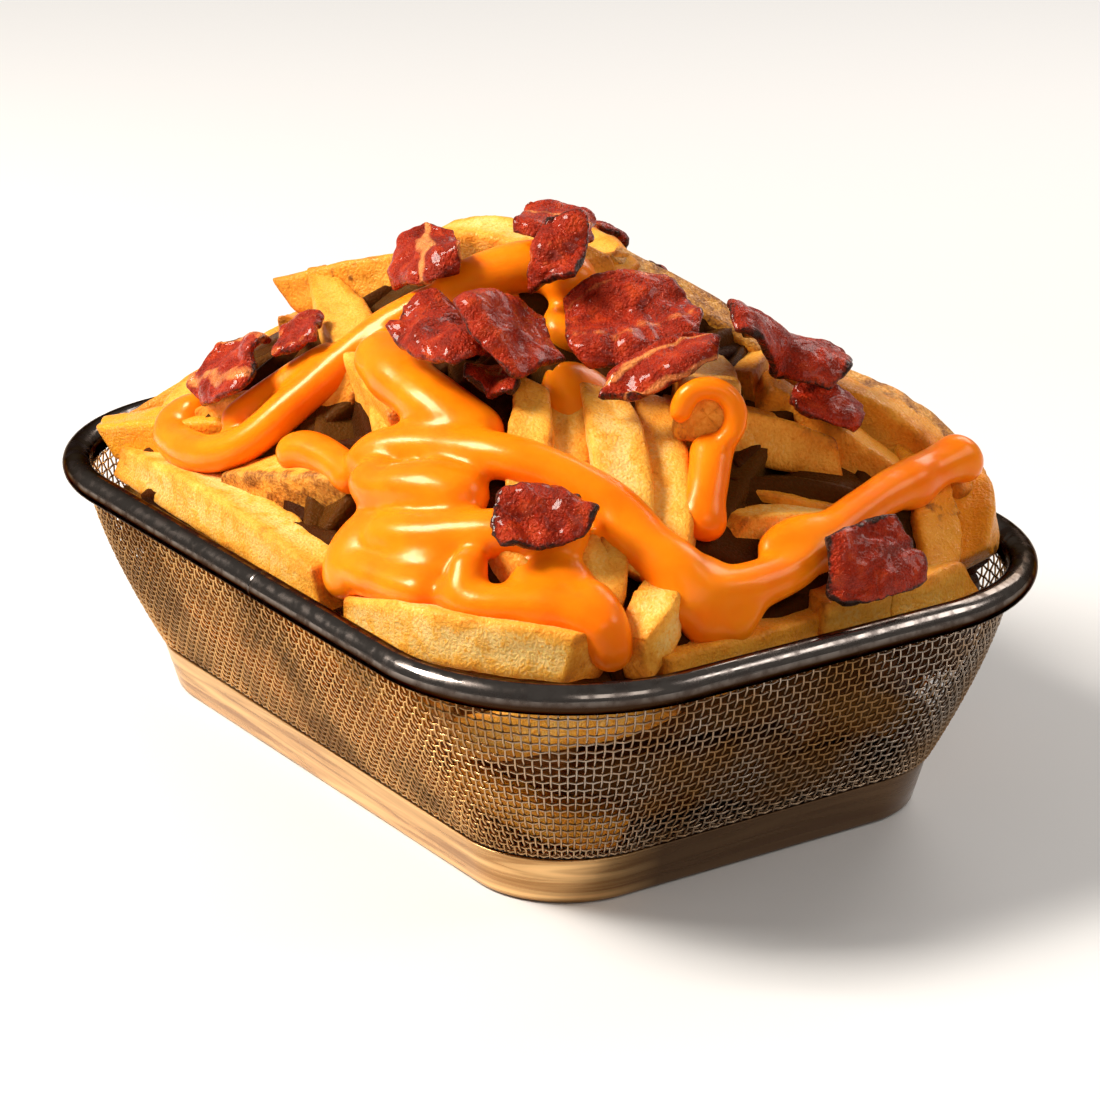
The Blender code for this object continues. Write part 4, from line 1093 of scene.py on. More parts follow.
@dataclass(frozen=True)
class FootBand:
    """The foot band: a drafted strip with a lip turned inwards and a weld line on one long side."""

    basket: Basket
    half_x: float = 91.1 * MM
    half_y: float = 60.9 * MM
    corner: float = 26.1 * MM
    height: float = 12.0 * MM
    draft: float = 3.5 * MM
    thickness: float = 1.2 * MM
    lip: float = 4.0 * MM
    edge: float = 0.7 * MM
    round: float = 0.5 * MM
    stations: int = 360
    weld_x: float = -8.5 * MM
    weld_half: float = 0.35 * MM
    weld_steps: int = 19
    weld_height: float = 0.22 * MM
    weld_low: Span = (1.0 * MM, 2.0 * MM)
    weld_high: Span = (11.0 * MM, 11.8 * MM)
    lower_in: float = 0.2 * MM
    longest_round: float = 0.45
    round_steps: int = 5

    def profile(self) -> Array:
        """The section as inset and height, each corner a short quadratic curve."""
        inner = self.draft + self.thickness
        corners = np.array((
            (0.0, self.height),
            (self.draft - self.lower_in, self.edge),
            (self.draft + self.edge, 0.0),
            (self.draft + self.lip, 0.0),
            (self.draft + self.lip, self.thickness),
            (inner + self.edge, self.thickness),
            (self.thickness, self.height),
        ))
        before = np.roll(corners, 1, axis=0) - corners
        after = np.roll(corners, -1, axis=0) - corners
        start, end = (
            corners + unit(way) * np.minimum(
                self.round, self.longest_round * np.linalg.norm(way, axis=1))[:, None]
            for way in (before, after))
        share = np.linspace(0.0, 1.0, self.round_steps)[None, :, None]
        curve = ((1 - share) ** 2 * start[:, None] + 2 * share * (1 - share) * corners[:, None]
                 + share ** 2 * end[:, None])
        return curve.reshape(-1, 2)

    def build(self, material: bpy.types.Material) -> None:
        """Make the foot band by carrying its section round its outline.

        Args:
            material: The band's finish.
        """
        outline = Basket(half_x=self.half_x, half_y=self.half_y, corner=self.corner)
        weld = outline.travel_of(self.weld_x, -self.half_y)
        travel = outline.stations(self.stations, weld, self.weld_half, self.weld_steps)
        section = self.profile()
        path, inset = np.meshgrid(travel, section[:, 0], indexing="ij")
        z = np.broadcast_to(section[:, 1], path.shape)
        outer = smooth_step(z, *self.weld_low) * (1.0 - smooth_step(z, *self.weld_high))
        ridge = self.weld_height * np.exp(-((path - weld) / self.weld_half) ** 2)
        points = outline.place(path, inset + ridge * outer, z)
        piece = Mesh.make("foot_band", points, [grid_faces(len(travel), len(section), True, True)])
        Mesh.face_out(piece)
        Mesh.dress(piece, material, Slot.STEEL, "basket_foot")


@dataclass(frozen=True)
class WovenWire:
    """The plain-woven wire of the wall and the floor."""

    basket: Basket
    pitch: float = 2.2 * MM
    radius: float = 0.26 * MM
    sides: int = 5
    top_z: float = 56.4 * MM
    floor_middle: float = 12.85 * MM
    floor_turn: tuple[Span, ...] = (
        (0.9 * MM, 13.0 * MM), (2.6 * MM, 12.85 * MM), (8.0 * MM, 12.85 * MM))
    wall_steps: int = 200

    def wires(self, centres: Array, outward: Array, closed: bool) -> tuple[Array, Whole]:
        """Tubes round several centre lines.

        Formula: a circle in the plane of the outward direction and the one square to it and the line.

        Args:
            centres: Wires by stations by 3.
            outward: The direction away from the weave at each station.
            closed: Whether each wire joins its own start.

        Returns:
            The points and the faces.
        """
        if closed:
            along = np.roll(centres, -1, axis=1) - np.roll(centres, 1, axis=1)
        else:
            along = np.gradient(centres, axis=1)
        side, up = cross_frame(unit(along), outward)
        angle = np.linspace(0.0, TAU, self.sides, endpoint=False)
        ring = (np.cos(angle)[:, None] * side[:, :, None] + np.sin(angle)[:, None] * up[:, :, None])
        points = centres[:, :, None] + self.radius * ring
        count, stations = centres.shape[:2]
        faces = grid_faces(stations, self.sides, closed, True)
        return points, repeated_faces(faces, count, stations * self.sides)

    def wall_path(self) -> Array:
        """Insets and heights down the wall and in over the floor, two for each pitch."""
        z = np.linspace(self.top_z, self.basket.wall_low_z, self.wall_steps)
        wall = np.column_stack([self.basket.wall_inset(z) + self.basket.wall_thickness / 2, z])
        turn = np.array(self.floor_turn) + (wall[-1, 0], 0.0)
        path = np.vstack([wall, turn])
        travel = travel_along(path)
        return along_line(path, travel, np.arange(0.0, travel[-1], self.pitch / 2))

    def weave(self, name: str, closed: bool, travel: Array, spots: Array, lean: Array) -> bpy.types.Object:
        """Make the uprights or the hoops.

        Args:
            name: The piece's name.
            closed: Whether each wire joins its own start.
            travel: Lengths round the basket, one row a wire.
            spots: Inset and height at each station.
            lean: Inset and height of the direction out of the weave at each station.

        Returns:
            The piece, not yet dressed.
        """
        centres = self.basket.place(travel, spots[0], spots[1])
        outward = self.basket.place(travel, spots[0] + lean[0], spots[1] + lean[1]) - centres
        points, faces = self.wires(centres, unit(outward), closed)
        return Mesh.make(name, points, [faces])

    def build(self, material: bpy.types.Material) -> None:
        """Make the upright wires, the hoops and the floor.

        Formula: an upright leaves the weave's middle by a cosine of its way down, a hoop by a cosine
        of its way round, and neighbours leave it to opposite sides.

        Args:
            material: The wire's finish.
        """
        path = self.wall_path()
        count = 2 * round(self.basket.perimeter / self.pitch / 2)
        step = self.basket.perimeter / count
        lean = np.gradient(path, axis=0)
        lean /= np.linalg.norm(lean, axis=1, keepdims=True)
        out = np.stack([lean[:, 1], -lean[:, 0]])
        out = out * np.where(out[0] > 0, -1.0, 1.0)
        sign = (1.0 - 2.0 * (np.arange(count) % 2))[:, None]
        lift = sign * (self.radius * np.cos(np.arange(len(path)) * math.pi / 2))
        travel = np.broadcast_to((np.arange(count) * step)[:, None], lift.shape)
        spots = np.stack([path[:, 0] + lift * out[0], path[:, 1] + lift * out[1]])
        piece = self.weave("upright_wires", False, travel, spots, out)
        Mesh.dress(piece, material, Slot.WIRE, "basket_mesh")

        rows = np.arange(2, len(path) - 4, 2)
        out = out[:, rows, None]
        swing = self.radius * np.cos(np.arange(2 * count) * math.pi / 2)
        lift = np.cos(rows * math.pi / 2)[:, None] * swing
        travel = np.broadcast_to((np.arange(2 * count) * step / 2)[None], lift.shape)
        row_path = path[rows, :, None]
        spots = np.stack([row_path[:, 0] - lift * out[0], row_path[:, 1] - lift * out[1]])
        piece = self.weave("hoop_wires", True, travel, spots, out)
        Mesh.dress(piece, material, Slot.WIRE, "basket_mesh")
        self.floor(material)

    def floor(self, material: bpy.types.Material) -> None:
        """Make the floor's weave: straight wires both ways, cut to the floor's outline."""
        inset = float(self.basket.wall_inset(self.basket.wall_low_z)) + self.floor_turn[1][0]
        half = (self.basket.half_x - inset, self.basket.half_y - inset)
        corner = self.basket.corner - inset
        groups = []
        lift = 0
        for axis in range(2):
            other = 1 - axis
            count = int(half[other] / self.pitch)
            for line in range(-count, count + 1):
                place = line * self.pitch
                beyond = max(abs(place) - (half[other] - corner), 0.0)
                reach = half[axis] - corner + math.sqrt(max(corner ** 2 - beyond ** 2, 0.0))
                ends = int(reach / self.pitch)
                along = np.arange(-2 * ends, 2 * ends + 1) * self.pitch / 2
                if len(along) < 3:
                    continue
                way = 1.0 if axis == 0 else -1.0
                sign = way * (1.0 - 2.0 * (line % 2))
                height = self.floor_middle + sign * self.radius * np.cos(along / self.pitch * math.pi)
                centres = np.zeros((1, len(along), 3))
                centres[0, :, axis] = along
                centres[0, :, other] = place
                centres[0, :, 2] = height
                up = np.broadcast_to(UP, centres.shape)
                points, faces = self.wires(centres, up, False)
                groups.append((points.reshape(-1, 3), faces + lift))
                lift += points.size // 3
        points = np.vstack([group[0] for group in groups])
        piece = Mesh.make("floor_wires", points, [np.vstack([group[1] for group in groups])])
        Mesh.dress(piece, material, Slot.WIRE, "basket_mesh")


@dataclass(frozen=True)
class Fry:
    """One fry: its centre line, width and looks."""

    route: Array
    width: float
    tapers: Span
    roll: float
    seed: int
    square: float = 9.0
    tone: float = 0.0
    skin: float = 0.0
    clear: float = 0.0
    # painted shade: how dark a fry is painted for lying deep in the heap
    depth: float = 0.0


@dataclass(frozen=True)
class FryMaker:
    """Turns centre lines into cut and fried potato sticks."""

    basket: Basket
    middle_rings: int
    around: int
    end_rings: int = 6
    end_length: float = 1.7 * MM
    end_square: float = 4.2
    least_size: float = 0.02
    corner_pull: float = 0.115
    route_steps: int = 60
    taper_places: tuple[float, ...] = (0.0, 0.3, 0.7, 1.0)
    clearance: float = 1.12
    look: float = 0.04
    hollow: float = 0.03
    twist: float = 0.18
    aspects: Span = (0.90, 1.0)
    slants: Span = (-0.62, 0.62)
    slant_reach: float = 8.0
    sway: Texture = (14.0 * MM, 2, 3)
    dents: Texture = (4.5 * MM, 2, 5)
    grains: Texture = (1.3 * MM, 1, 7)
    blisters: Texture = (3.2 * MM, 1, 9)
    chips: Texture = (2.3 * MM, 1, 13)
    patches: Texture = (9.0 * MM, 3, 21)
    sway_height: float = 0.34 * MM
    dent_height: float = 0.24 * MM
    grain_height: float = 0.08 * MM
    blister_height: float = 0.16 * MM
    chip_depth: float = 0.42 * MM
    plain_tone: float = 0.13
    own_tone: float = 0.17
    patch_tone: float = 0.13
    edge_tone: float = 0.34
    end_edge_tone: float = 0.26
    end_tone: float = 0.14
    end_tone_reach: float = 9.0 * MM
    blister_tone: float = 0.10

    @property
    def rings(self) -> int:
        """Rings of one fry, both rounded ends included."""
        return self.middle_rings + 2 * self.end_rings

    def stations(self) -> tuple[Array, Array, Array]:
        """How the rings lie along a fry.

        Formula: at an end the ring's size and its distance from the end follow a superellipse, so that
        the cut face is flat with a rounded edge.

        Returns:
            The share of the middle's way, the distance into the end and the size of each ring.
        """
        turn = np.linspace(0.0, math.pi / 2, self.end_rings + 1)[:-1]
        size = np.sin(turn) ** (2 / self.end_square)
        into = self.end_length * (1.0 - np.cos(turn) ** (2 / self.end_square))
        middle = np.linspace(0.0, 1.0, self.middle_rings)
        share = np.concatenate([np.zeros(self.end_rings), middle, np.ones(self.end_rings)])
        beyond = self.end_length - into
        depth = np.concatenate([-beyond, np.zeros(self.middle_rings), beyond[::-1]])
        sizes = np.concatenate([size, np.ones(self.middle_rings), size[::-1]])
        return share, depth, np.maximum(sizes, self.least_size)

    def points_of(self, fry: Fry) -> tuple[Array, Array]:
        """The vertices of one fry and their marks.

        Formula: a superellipse of the fry's width, turned by its roll, carried along its smooth centre
        line, narrowed towards its ends and roughened by noise of several sizes.

        Args:
            fry: The fry to make.

        Returns:
            Rings by steps around by 3, and the same by 4 for the marks.
        """
        fine = smooth_route(fry.route, self.route_steps)
        total = np.linalg.norm(np.diff(fine, axis=0), axis=1).sum()
        cut = self.end_length / total
        travel = np.linspace(0.0, 1.0, self.route_steps)
        share, depth, sizes = self.stations()
        inner = cut + share * (1.0 - 2.0 * cut)
        place = inner + depth / total
        tapers = (fry.tapers[0], 1.0, 1.0, fry.tapers[1])
        taper = np.interp(inner, self.taper_places, tapers)
        radii = np.interp(travel, self.taper_places, tapers)
        fine = self.basket.keep_inside(fine, self.clearance * radii * fry.width / 2)
        line = along_line(fine, travel, place)
        along = unit(along_line(fine, travel, place + self.look)
                     - along_line(fine, travel, place - self.look))
        side, up = cross_frame(along, UP)

        even = np.linspace(0.0, TAU, self.around, endpoint=False)
        angle = even + math.pi / 4 - self.corner_pull * np.sin(4 * even)
        across = np.cos(angle)
        above = np.sin(angle)
        reach = superellipse(across, above, fry.square) * (1.0 - self.hollow * np.cos(4 * angle))
        section = np.stack([across, above], -1) * reach[:, None]
        roll = fry.roll + self.twist * (place - 0.5) * math.copysign(1.0, fry.roll)
        cos_roll = np.cos(roll)[:, None]
        sin_roll = np.sin(roll)[:, None]
        flat_u = section[None, :, 0] * cos_roll - section[None, :, 1] * sin_roll
        flat_v = section[None, :, 0] * sin_roll + section[None, :, 1] * cos_roll
        rng = np.random.default_rng(FORM_SEED + fry.seed)
        aspect = rng.uniform(*self.aspects, 2)
        scale = (sizes * taper * fry.width / 2)[:, None]
        slant = rng.uniform(*self.slants, (2, 2))
        from_end = np.where(share < 0.5, share, 1.0 - share)
        near_end = np.clip(1.0 - from_end * self.slant_reach, 0.0, 1.0)[:, None]
        which = (share > 0.5).astype(int)
        shift = near_end * scale * (flat_u * slant[which, 0][:, None] + flat_v * slant[which, 1][:, None])
        points = (line[:, None] + (flat_u * scale * aspect[0])[..., None] * side[:, None]
                  + (flat_v * scale * aspect[1])[..., None] * up[:, None]
                  + shift[..., None] * along[:, None])

        at_edge = np.clip(1.0 - np.abs(np.abs(across) - np.abs(above)) / 0.75, 0.0, 1.0) ** 1.5
        outward = unit(points - line[:, None])
        local = points + np.array((fry.seed * 0.37, fry.seed * 0.11, 0.0))
        dents = layered_noise(local, *self.dents)
        blister = smooth_step(layered_noise(local, *self.blisters), 0.45, 0.85)
        bulge = (self.sway_height * layered_noise(local, *self.sway) + self.dent_height * dents
                 + self.grain_height * layered_noise(local, *self.grains) + self.blister_height * blister)
        chip = smooth_step(layered_noise(local, *self.chips), 0.25, 0.8)
        bulge -= self.chip_depth * chip * at_edge
        points = points + (bulge * np.clip(sizes[:, None] * 1.2, 0.0, 1.0))[..., None] * outward

        end_edge = np.exp(-((sizes - 0.86) / 0.2) ** 2) * (np.abs(depth) > 0)
        to_end = np.minimum(inner - cut, 1.0 - cut - inner) * total
        end_share = np.clip(1.0 - to_end / self.end_tone_reach, 0.0, 1.0)
        patch = layered_noise(local, *self.patches)
        browning = (self.plain_tone + self.own_tone * fry.tone + self.patch_tone * patch
                    + self.edge_tone * at_edge * (0.55 + 0.6 * dents))
        browning += (self.end_edge_tone * end_edge[:, None] + self.end_tone * end_share[:, None]
                     + self.blister_tone * blister)
        on_skin = np.clip(np.cos(angle - rng.uniform(0, TAU)), 0.0, 1.0)[None]
        skin = fry.skin * (0.35 + 1.1 * smooth_step(on_skin, 0.35, 0.75)) + 0.25 * patch
        # the fourth mark is painted shade for fries deep in the heap
        marks = np.stack([browning, np.clip(skin, 0.0, 1.0) * (fry.skin > 0),
                          np.full_like(browning, fry.clear), np.full_like(browning, fry.depth)], -1)
        return points, marks

    def build(self, name: str, fries: list[Fry], material: bpy.types.Material) -> None:
        """Make one piece of many fries.

        Args:
            name: The piece's name.
            fries: The fries in it.
            material: Their finish.
        """
        made = [self.points_of(fry) for fry in fries]
        points = np.stack([pair[0] for pair in made])
        marks = np.stack([pair[1] for pair in made])
        size = self.rings * self.around
        quads = grid_faces(self.rings, self.around, False, True)
        faces = [repeated_faces(group[:, ::-1], len(fries), size)
                 for group in (quads, end_caps(self.rings, self.around))]
        piece = Mesh.make(name, points, faces, marks)
        Mesh.face_out(piece)
        Mesh.dress(piece, material, Slot.POTATO, "fries")


@dataclass(frozen=True)
class FryHeap:
    """Where the fries lie: placed ones in front, rows behind, layers in the basket and fries beneath."""

    basket: Basket
    heap: Heap
    placed_roll: Span = (-0.25, 0.25)
    rows: tuple[tuple[int, float], ...] = ((9, 0.92), (7, 0.74), (5, 0.52), (2, 0.26))
    row_start: float = math.radians(48)
    row_turn: float = math.radians(168)
    row_width: Span = (10.0 * MM, 12.5 * MM)
    row_length: Span = (50.0 * MM, 78.0 * MM)
    row_edge: float = 11.0 * MM
    row_sink: float = 0.5
    row_drape: float = 0.85
    row_roll: Span = (-0.4, 0.4)
    tapers: Span = (0.8, 0.88)
    layers: tuple[tuple[float, int], ...] = ((20.5 * MM, 8), (33.0 * MM, 9), (46.0 * MM, 10))
    layer_length: Span = (38.0 * MM, 62.0 * MM)
    layer_width: Span = (9.5 * MM, 12.0 * MM)
    layer_tilt: Span = (-28, 28)
    layer_rise: float = 9.0 * MM
    layer_roll: Span = (-0.3, 0.3)
    beneath: int = 84
    beneath_spare: float = 8.0 * MM
    beneath_sink: Span = (9.5, 13.0)
    # painted shade: fries beneath are painted nearly black, for the shade between the fries on top
    beneath_shade_range: Span = (0.94, 0.99)
    skin_chance: float = 0.22
    skin_share: Span = (0.3, 0.65)
    tone_range: Span = (-0.7, 0.7)
    clear_low: float = 0.8
    clear_high: float = 0.25
    core_rings: int = 46
    core_around: int = 220
    core_depth: float = 12.5 * MM
    core_z: Span = (14.6 * MM, 53.0 * MM)
    core_rise: Span = (0.86, 0.02)
    core_inset: float = 10.0 * MM
    core_rough: float = 0.9 * MM
    core_waves: Texture = (6.0 * MM, 2, 31)
    core_patches: Texture = (9.0 * MM, 2, 33)
    # painted shade: the inside of the heap is painted dark for the shade between fries
    core_painted_shade: float = 0.8
    # painted shade: fries against the wall are painted darker right of the corner in front, where shade
    # falls
    bright_from: float = math.radians(-78)
    dark_from: float = math.radians(-26)
    dark_to: float = math.radians(60)
    corner_shade_range: Span = (0.0, 0.25)
    right_shade_range: Span = (0.86, 0.98)
    plain_shade_range: Span = (0.10, 0.92)

    def placed(self, rng: np.random.Generator) -> list[Fry]:
        """The fries that were placed one by one."""
        fries = []
        for index, (name, width, taper_start, taper_end, route) in enumerate(FRIES):
            roll = rng.uniform(*self.placed_roll)
            tone, skin, clear = FRY_LOOKS.get(name, (0.0, 0.0, 0.0))
            fries.append(Fry(np.array(route) * MM, width * MM, (taper_start, taper_end), roll, index,
                             tone=tone, skin=skin, clear=clear))
        return fries

    def edge_push(self, centre: Array, heading: Array, length: float) -> Array:
        """How far a fry moves in plan so that neither of its ends passes the heap's edge."""
        move = np.zeros(2)
        for share_along in (-0.5, 0.5):
            end = centre[:2] + heading * length * share_along
            inset, inwards = self.basket.rim_inset(end)
            move += inwards * max(0.0, self.row_edge - float(inset))
        return move

    def laid(self, centre: Array, heading: Array, length: float, spare: float, sink: float) -> Array:
        """Centre line of a fry that follows the heap's surface.

        Args:
            centre: Where its middle would lie.
            heading: Its direction in plan.
            length: Its length.
            spare: Extra length that has to stay inside the heap's edge.
            sink: How far its centre line lies below the surface.

        Returns:
            Its two ends and its middle between them.
        """
        middle = centre[:2] + self.edge_push(centre, heading, length + spare)
        flat = middle + np.array((-0.5, 0.0, 0.5))[:, None] * length * heading
        return np.column_stack([flat, self.heap.height(flat[:, 0], flat[:, 1]) - sink])

    def far(self, rng: np.random.Generator) -> list[Fry]:
        """Fries on the sides that face away, laid over the heap's surface row by row."""
        fries = []
        for count, outwardness in self.rows:
            for place in range(count):
                share = (place + 0.5 + rng.uniform(-0.2, 0.2)) / count
                angle = self.row_start + self.row_turn * share
                centre = self.heap.at(angle, outwardness * rng.uniform(0.95, 1.03))
                width = rng.uniform(*self.row_width)
                length = rng.uniform(*self.row_length)
                normal = self.heap.normal(centre[0], centre[1])
                downhill = unit(normal[:2])
                swing = math.radians(rng.choice((-70, -35, 10, 40, 75)) + rng.uniform(-12, 12))
                heading = np.array((downhill[0] * math.cos(swing) - downhill[1] * math.sin(swing),
                                    downhill[0] * math.sin(swing) + downhill[1] * math.cos(swing)))
                sink = self.row_sink * width + rng.uniform(-1.0, 1.5) * MM
                route = self.laid(centre, heading, length, 0.0, sink)
                start, middle, end = route[:, 2]
                route[1, 2] = self.row_drape * middle + (1 - self.row_drape) * (start + end) / 2
                roll = rng.uniform(*self.row_roll)
                fries.append(self.loose(route, width, roll, len(fries) + FAR_SEED))
        return fries

    def loose(self, route: Array, width: float, roll: float, seed: int,
              depth: Span = (0.0, 0.0)) -> Fry:
        """A fry whose looks are drawn from its seed, with its painted shade drawn from the given range."""
        rng = np.random.default_rng(LOOK_SEED + seed)
        tone = rng.uniform(*self.tone_range)
        skin = rng.uniform(*self.skin_share) if rng.uniform() < self.skin_chance else 0.0
        clear = (self.clear_low if depth[1] > 0 else self.clear_high) * rng.uniform()
        return Fry(route, width, self.tapers, roll, seed, tone=tone, skin=skin, clear=clear,
                   depth=rng.uniform(*depth))

    def wall_shade_range(self, angle: float) -> Span:
        """Range of painted shade on a fry against the wall: little at the corner in front, heavy right of
        it.

        Args:
            angle: Where the fry lies around the basket.

        Returns:
            The least and the greatest painted shade.
        """
        turn = (angle + math.pi) % TAU - math.pi
        if self.dark_from < turn < self.dark_to:
            return self.right_shade_range
        if self.bright_from < turn <= self.dark_from:
            return self.corner_shade_range
        return self.plain_shade_range

    def against_wall(self, rng: np.random.Generator) -> list[Fry]:
        """Fries that lie against the wall inside the basket, layer on layer."""
        fries = []
        square = self.heap.square
        for layer, (height, count) in enumerate(self.layers):
            for place in range(count):
                angle = TAU * (place + 0.5 * (layer % 2) + rng.uniform(-0.15, 0.15)) / count
                width = rng.uniform(*self.layer_width)
                length = rng.uniform(*self.layer_length)
                inset = (float(self.basket.wall_inset(height))
                         + self.basket.wall_slant * (self.basket.wall_thickness + 0.62 * width))
                half = np.array((self.basket.half_x - inset, self.basket.half_y - inset))
                way = np.array((math.cos(angle), math.sin(angle)))
                spot = half * way * superellipse(way[0], way[1], square)
                normal = unit(np.copysign(np.abs(spot / half) ** (square - 1), spot) / half)
                tilt = math.radians(rng.uniform(*self.layer_tilt))
                run = length / 2 * math.cos(tilt)
                rise = min(length / 2 * math.sin(abs(tilt)), self.layer_rise) * math.copysign(1.0, tilt)
                side = np.array((-1.0, 0.0, 1.0))
                route = np.column_stack([spot[0] - side * normal[1] * run,
                                         spot[1] + side * normal[0] * run, height + side * rise])
                roll = rng.uniform(*self.layer_roll)
                fries.append(self.loose(route, width, roll, len(fries) + WALL_SEED,
                                        self.wall_shade_range(angle)))
        return fries

    def below(self) -> list[Fry]:
        """Fries that fill the gaps under the ones on top, painted nearly black as shade."""
        rng = np.random.default_rng(BENEATH_DRAWS)
        fries = []
        for index in range(self.beneath):
            angle = TAU * (index * GOLDEN_TURN % 1.0)
            outwardness = 0.12 + 0.82 * math.sqrt((index + 0.5) / self.beneath)
            centre = self.heap.at(angle, outwardness)
            width = rng.uniform(*self.row_width)
            length = rng.uniform(*self.layer_length)
            turn = rng.uniform(0.0, TAU)
            heading = np.array((math.cos(turn), math.sin(turn)))
            sink = rng.uniform(*self.beneath_sink) * MM
            route = self.laid(centre, heading, length, self.beneath_spare, sink)
            roll = rng.uniform(*self.row_roll)
            fries.append(self.loose(route, width, roll, index + BENEATH_SEED, self.beneath_shade_range))
        return fries

    def core(self, material: bpy.types.Material) -> None:
        """Make the inside of the heap, painted dark as the shade between the fries.

        Formula: superellipse rings up the basket and then up the pyramid, a fixed depth below its
        surface, roughened by noise.

        Args:
            material: The finish of fried potato.
        """
        angle = np.linspace(0.0, TAU, self.core_around, endpoint=False)
        reach = superellipse(np.cos(angle), np.sin(angle), self.heap.square)
        rings = []
        for z in np.linspace(*self.core_z, self.core_rings // 2):
            inset = float(self.basket.wall_inset(z)) + self.core_inset
            rings.append(np.column_stack([(self.basket.half_x - inset) * reach * np.cos(angle),
                                          (self.basket.half_y - inset) * reach * np.sin(angle),
                                          np.full(self.core_around, z)]))
        last = rings[-1]
        around = np.arctan2(last[:, 1] - self.heap.peak[1], last[:, 0] - self.heap.peak[0])
        for outwardness in np.linspace(*self.core_rise, self.core_rings // 2):
            rings.append(self.heap.at(around, outwardness) - (0.0, 0.0, self.core_depth))
        points = np.array(rings)
        points[..., 2] += self.core_rough * layered_noise(points, *self.core_waves)
        marks = np.zeros((*points.shape[:-1], 4))
        marks[..., 0] = 0.5 + 0.3 * layered_noise(points, *self.core_patches)
        # painted shade
        marks[..., 3] = self.core_painted_shade
        faces = [grid_faces(len(rings), self.core_around, False, True),
                 end_caps(len(rings), self.core_around)]
        piece = Mesh.make("heap_core", points, faces, marks)
        Mesh.face_out(piece)
        Mesh.dress(piece, material, Slot.POTATO, "fries")


@dataclass(frozen=True)
class CheesePour:
    """Cheese poured over the heap: ropes and pools melted into one skin."""

    basket: Basket
    heap: Heap
    voxel: float = 0.85 * MM
    around: int = 24
    step: float = 0.9 * MM
    route_steps: int = 30
    least_rings: int = 12
    ease_rounds: int = 3
    smooth_rounds: int = 30
    smooth_factor: float = 0.5
    plump: float = 0.45 * MM
    uneven: float = 0.14
    waves: Texture = (14.0 * MM, 2, 41)
    wider: float = 1.08
    lower: float = 0.94
    ball_rings: int = 24
    ball_around: int = 40

    def rope(self, radius: float, route: npt.ArrayLike, seed: int) -> tuple[Array, list[Whole]]:
        """One rope.

        Formula: a circle carried along the smooth route, its radius a little uneven, falling to a point
        by a quarter circle over its own radius at each end.

        Args:
            radius: The rope's radius.
            route: Its centre line.
            seed: Changes its unevenness.

        Returns:
            The points and the faces.
        """
        fine = smooth_route(np.array(route) * MM, self.route_steps * len(route))
        fine = self.basket.keep_inside(fine, np.full(len(fine), radius))
        length = np.linalg.norm(np.diff(fine, axis=0), axis=1).sum()
        line = even_route(fine, max(self.least_rings, round(length / self.step)))
        for _ in range(self.ease_rounds):
            line[1:-1] = 0.25 * line[:-2] + 0.5 * line[1:-1] + 0.25 * line[2:]
        side, up = cross_frame(unit(np.gradient(line, axis=0)), UP)
        travel = np.linspace(0.0, length, len(line))
        from_end = np.minimum(travel, length - travel)
        cap = np.sqrt(np.clip(1.0 - (1.0 - np.clip(from_end / radius, 0.0, 1.0)) ** 2, 0.0008, 1.0))
        uneven = 1.0 + self.uneven * layered_noise(line + seed * 0.31, *self.waves)
        angle = np.linspace(0.0, TAU, self.around, endpoint=False)
        width = radius * cap * uneven
        ring = (np.cos(angle)[:, None] * side[:, None] * self.wider
                + np.sin(angle)[:, None] * up[:, None] * self.lower)
        points = line[:, None] + width[:, None, None] * ring
        return points.reshape(-1, 3), [grid_faces(len(line), self.around, False, True),
                                       end_caps(len(line), self.around)]

    def pool(self, centre: npt.ArrayLike, half_sizes: npt.ArrayLike) -> tuple[Array, list[Whole]]:
        """One pool: a flattened ball that lies along the slope."""
        middle = np.array(centre) * MM
        turn = Vector(self.heap.normal(middle[0], middle[1])).to_track_quat("Z", "X").to_matrix()
        latitude, longitude = np.meshgrid(
            np.linspace(0.01, math.pi - 0.01, self.ball_rings),
            np.linspace(0.0, TAU, self.ball_around, endpoint=False), indexing="ij")
        ball = np.stack([np.sin(latitude) * np.cos(longitude), np.sin(latitude) * np.sin(longitude),
                         np.cos(latitude)], -1)
        points = ball * (np.array(half_sizes) * MM + self.plump) @ np.array(turn).T + middle
        return points.reshape(-1, 3), [grid_faces(self.ball_rings, self.ball_around, False, True),
                                       end_caps(self.ball_rings, self.ball_around)]

    def build(self, material: bpy.types.Material) -> None:
        """Make the cheese: ropes and pools joined, remeshed as one skin and smoothed.

        Args:
            material: The finish of cheese.
        """
        ropes = [self.rope(radius * MM + self.plump, route, index)
                 for index, (_, radius, route) in enumerate(ROPES)]
        pools = [self.pool(centre, half_sizes) for _, centre, half_sizes in POOLS]
        lift = 0
        points = []
        quads = []
        caps: list[list[Whole]] = []
        for parts in (ropes, pools):
            caps.append([])
            for part_points, (part_quads, part_caps) in parts:
                points.append(part_points)
                quads.append(part_quads + lift)
                caps[-1].append(part_caps + lift)
                lift += len(part_points)
        faces = [np.vstack(group) for group in (quads, *caps)]
        piece = Mesh.make("cheese", np.vstack(points), faces)
        Mesh.face_out(piece)
        remesh = piece.modifiers.new("Melt", "REMESH")
        remesh.mode = "VOXEL"
        remesh.voxel_size = self.voxel
        soften = piece.modifiers.new("Soften", "SMOOTH")
        soften.factor = self.smooth_factor
        soften.iterations = self.smooth_rounds
        Mesh.bake_modifiers(piece)
        piece.data.shade_smooth()
        Mesh.dress(piece, material, Slot.CHEESE, "fries")


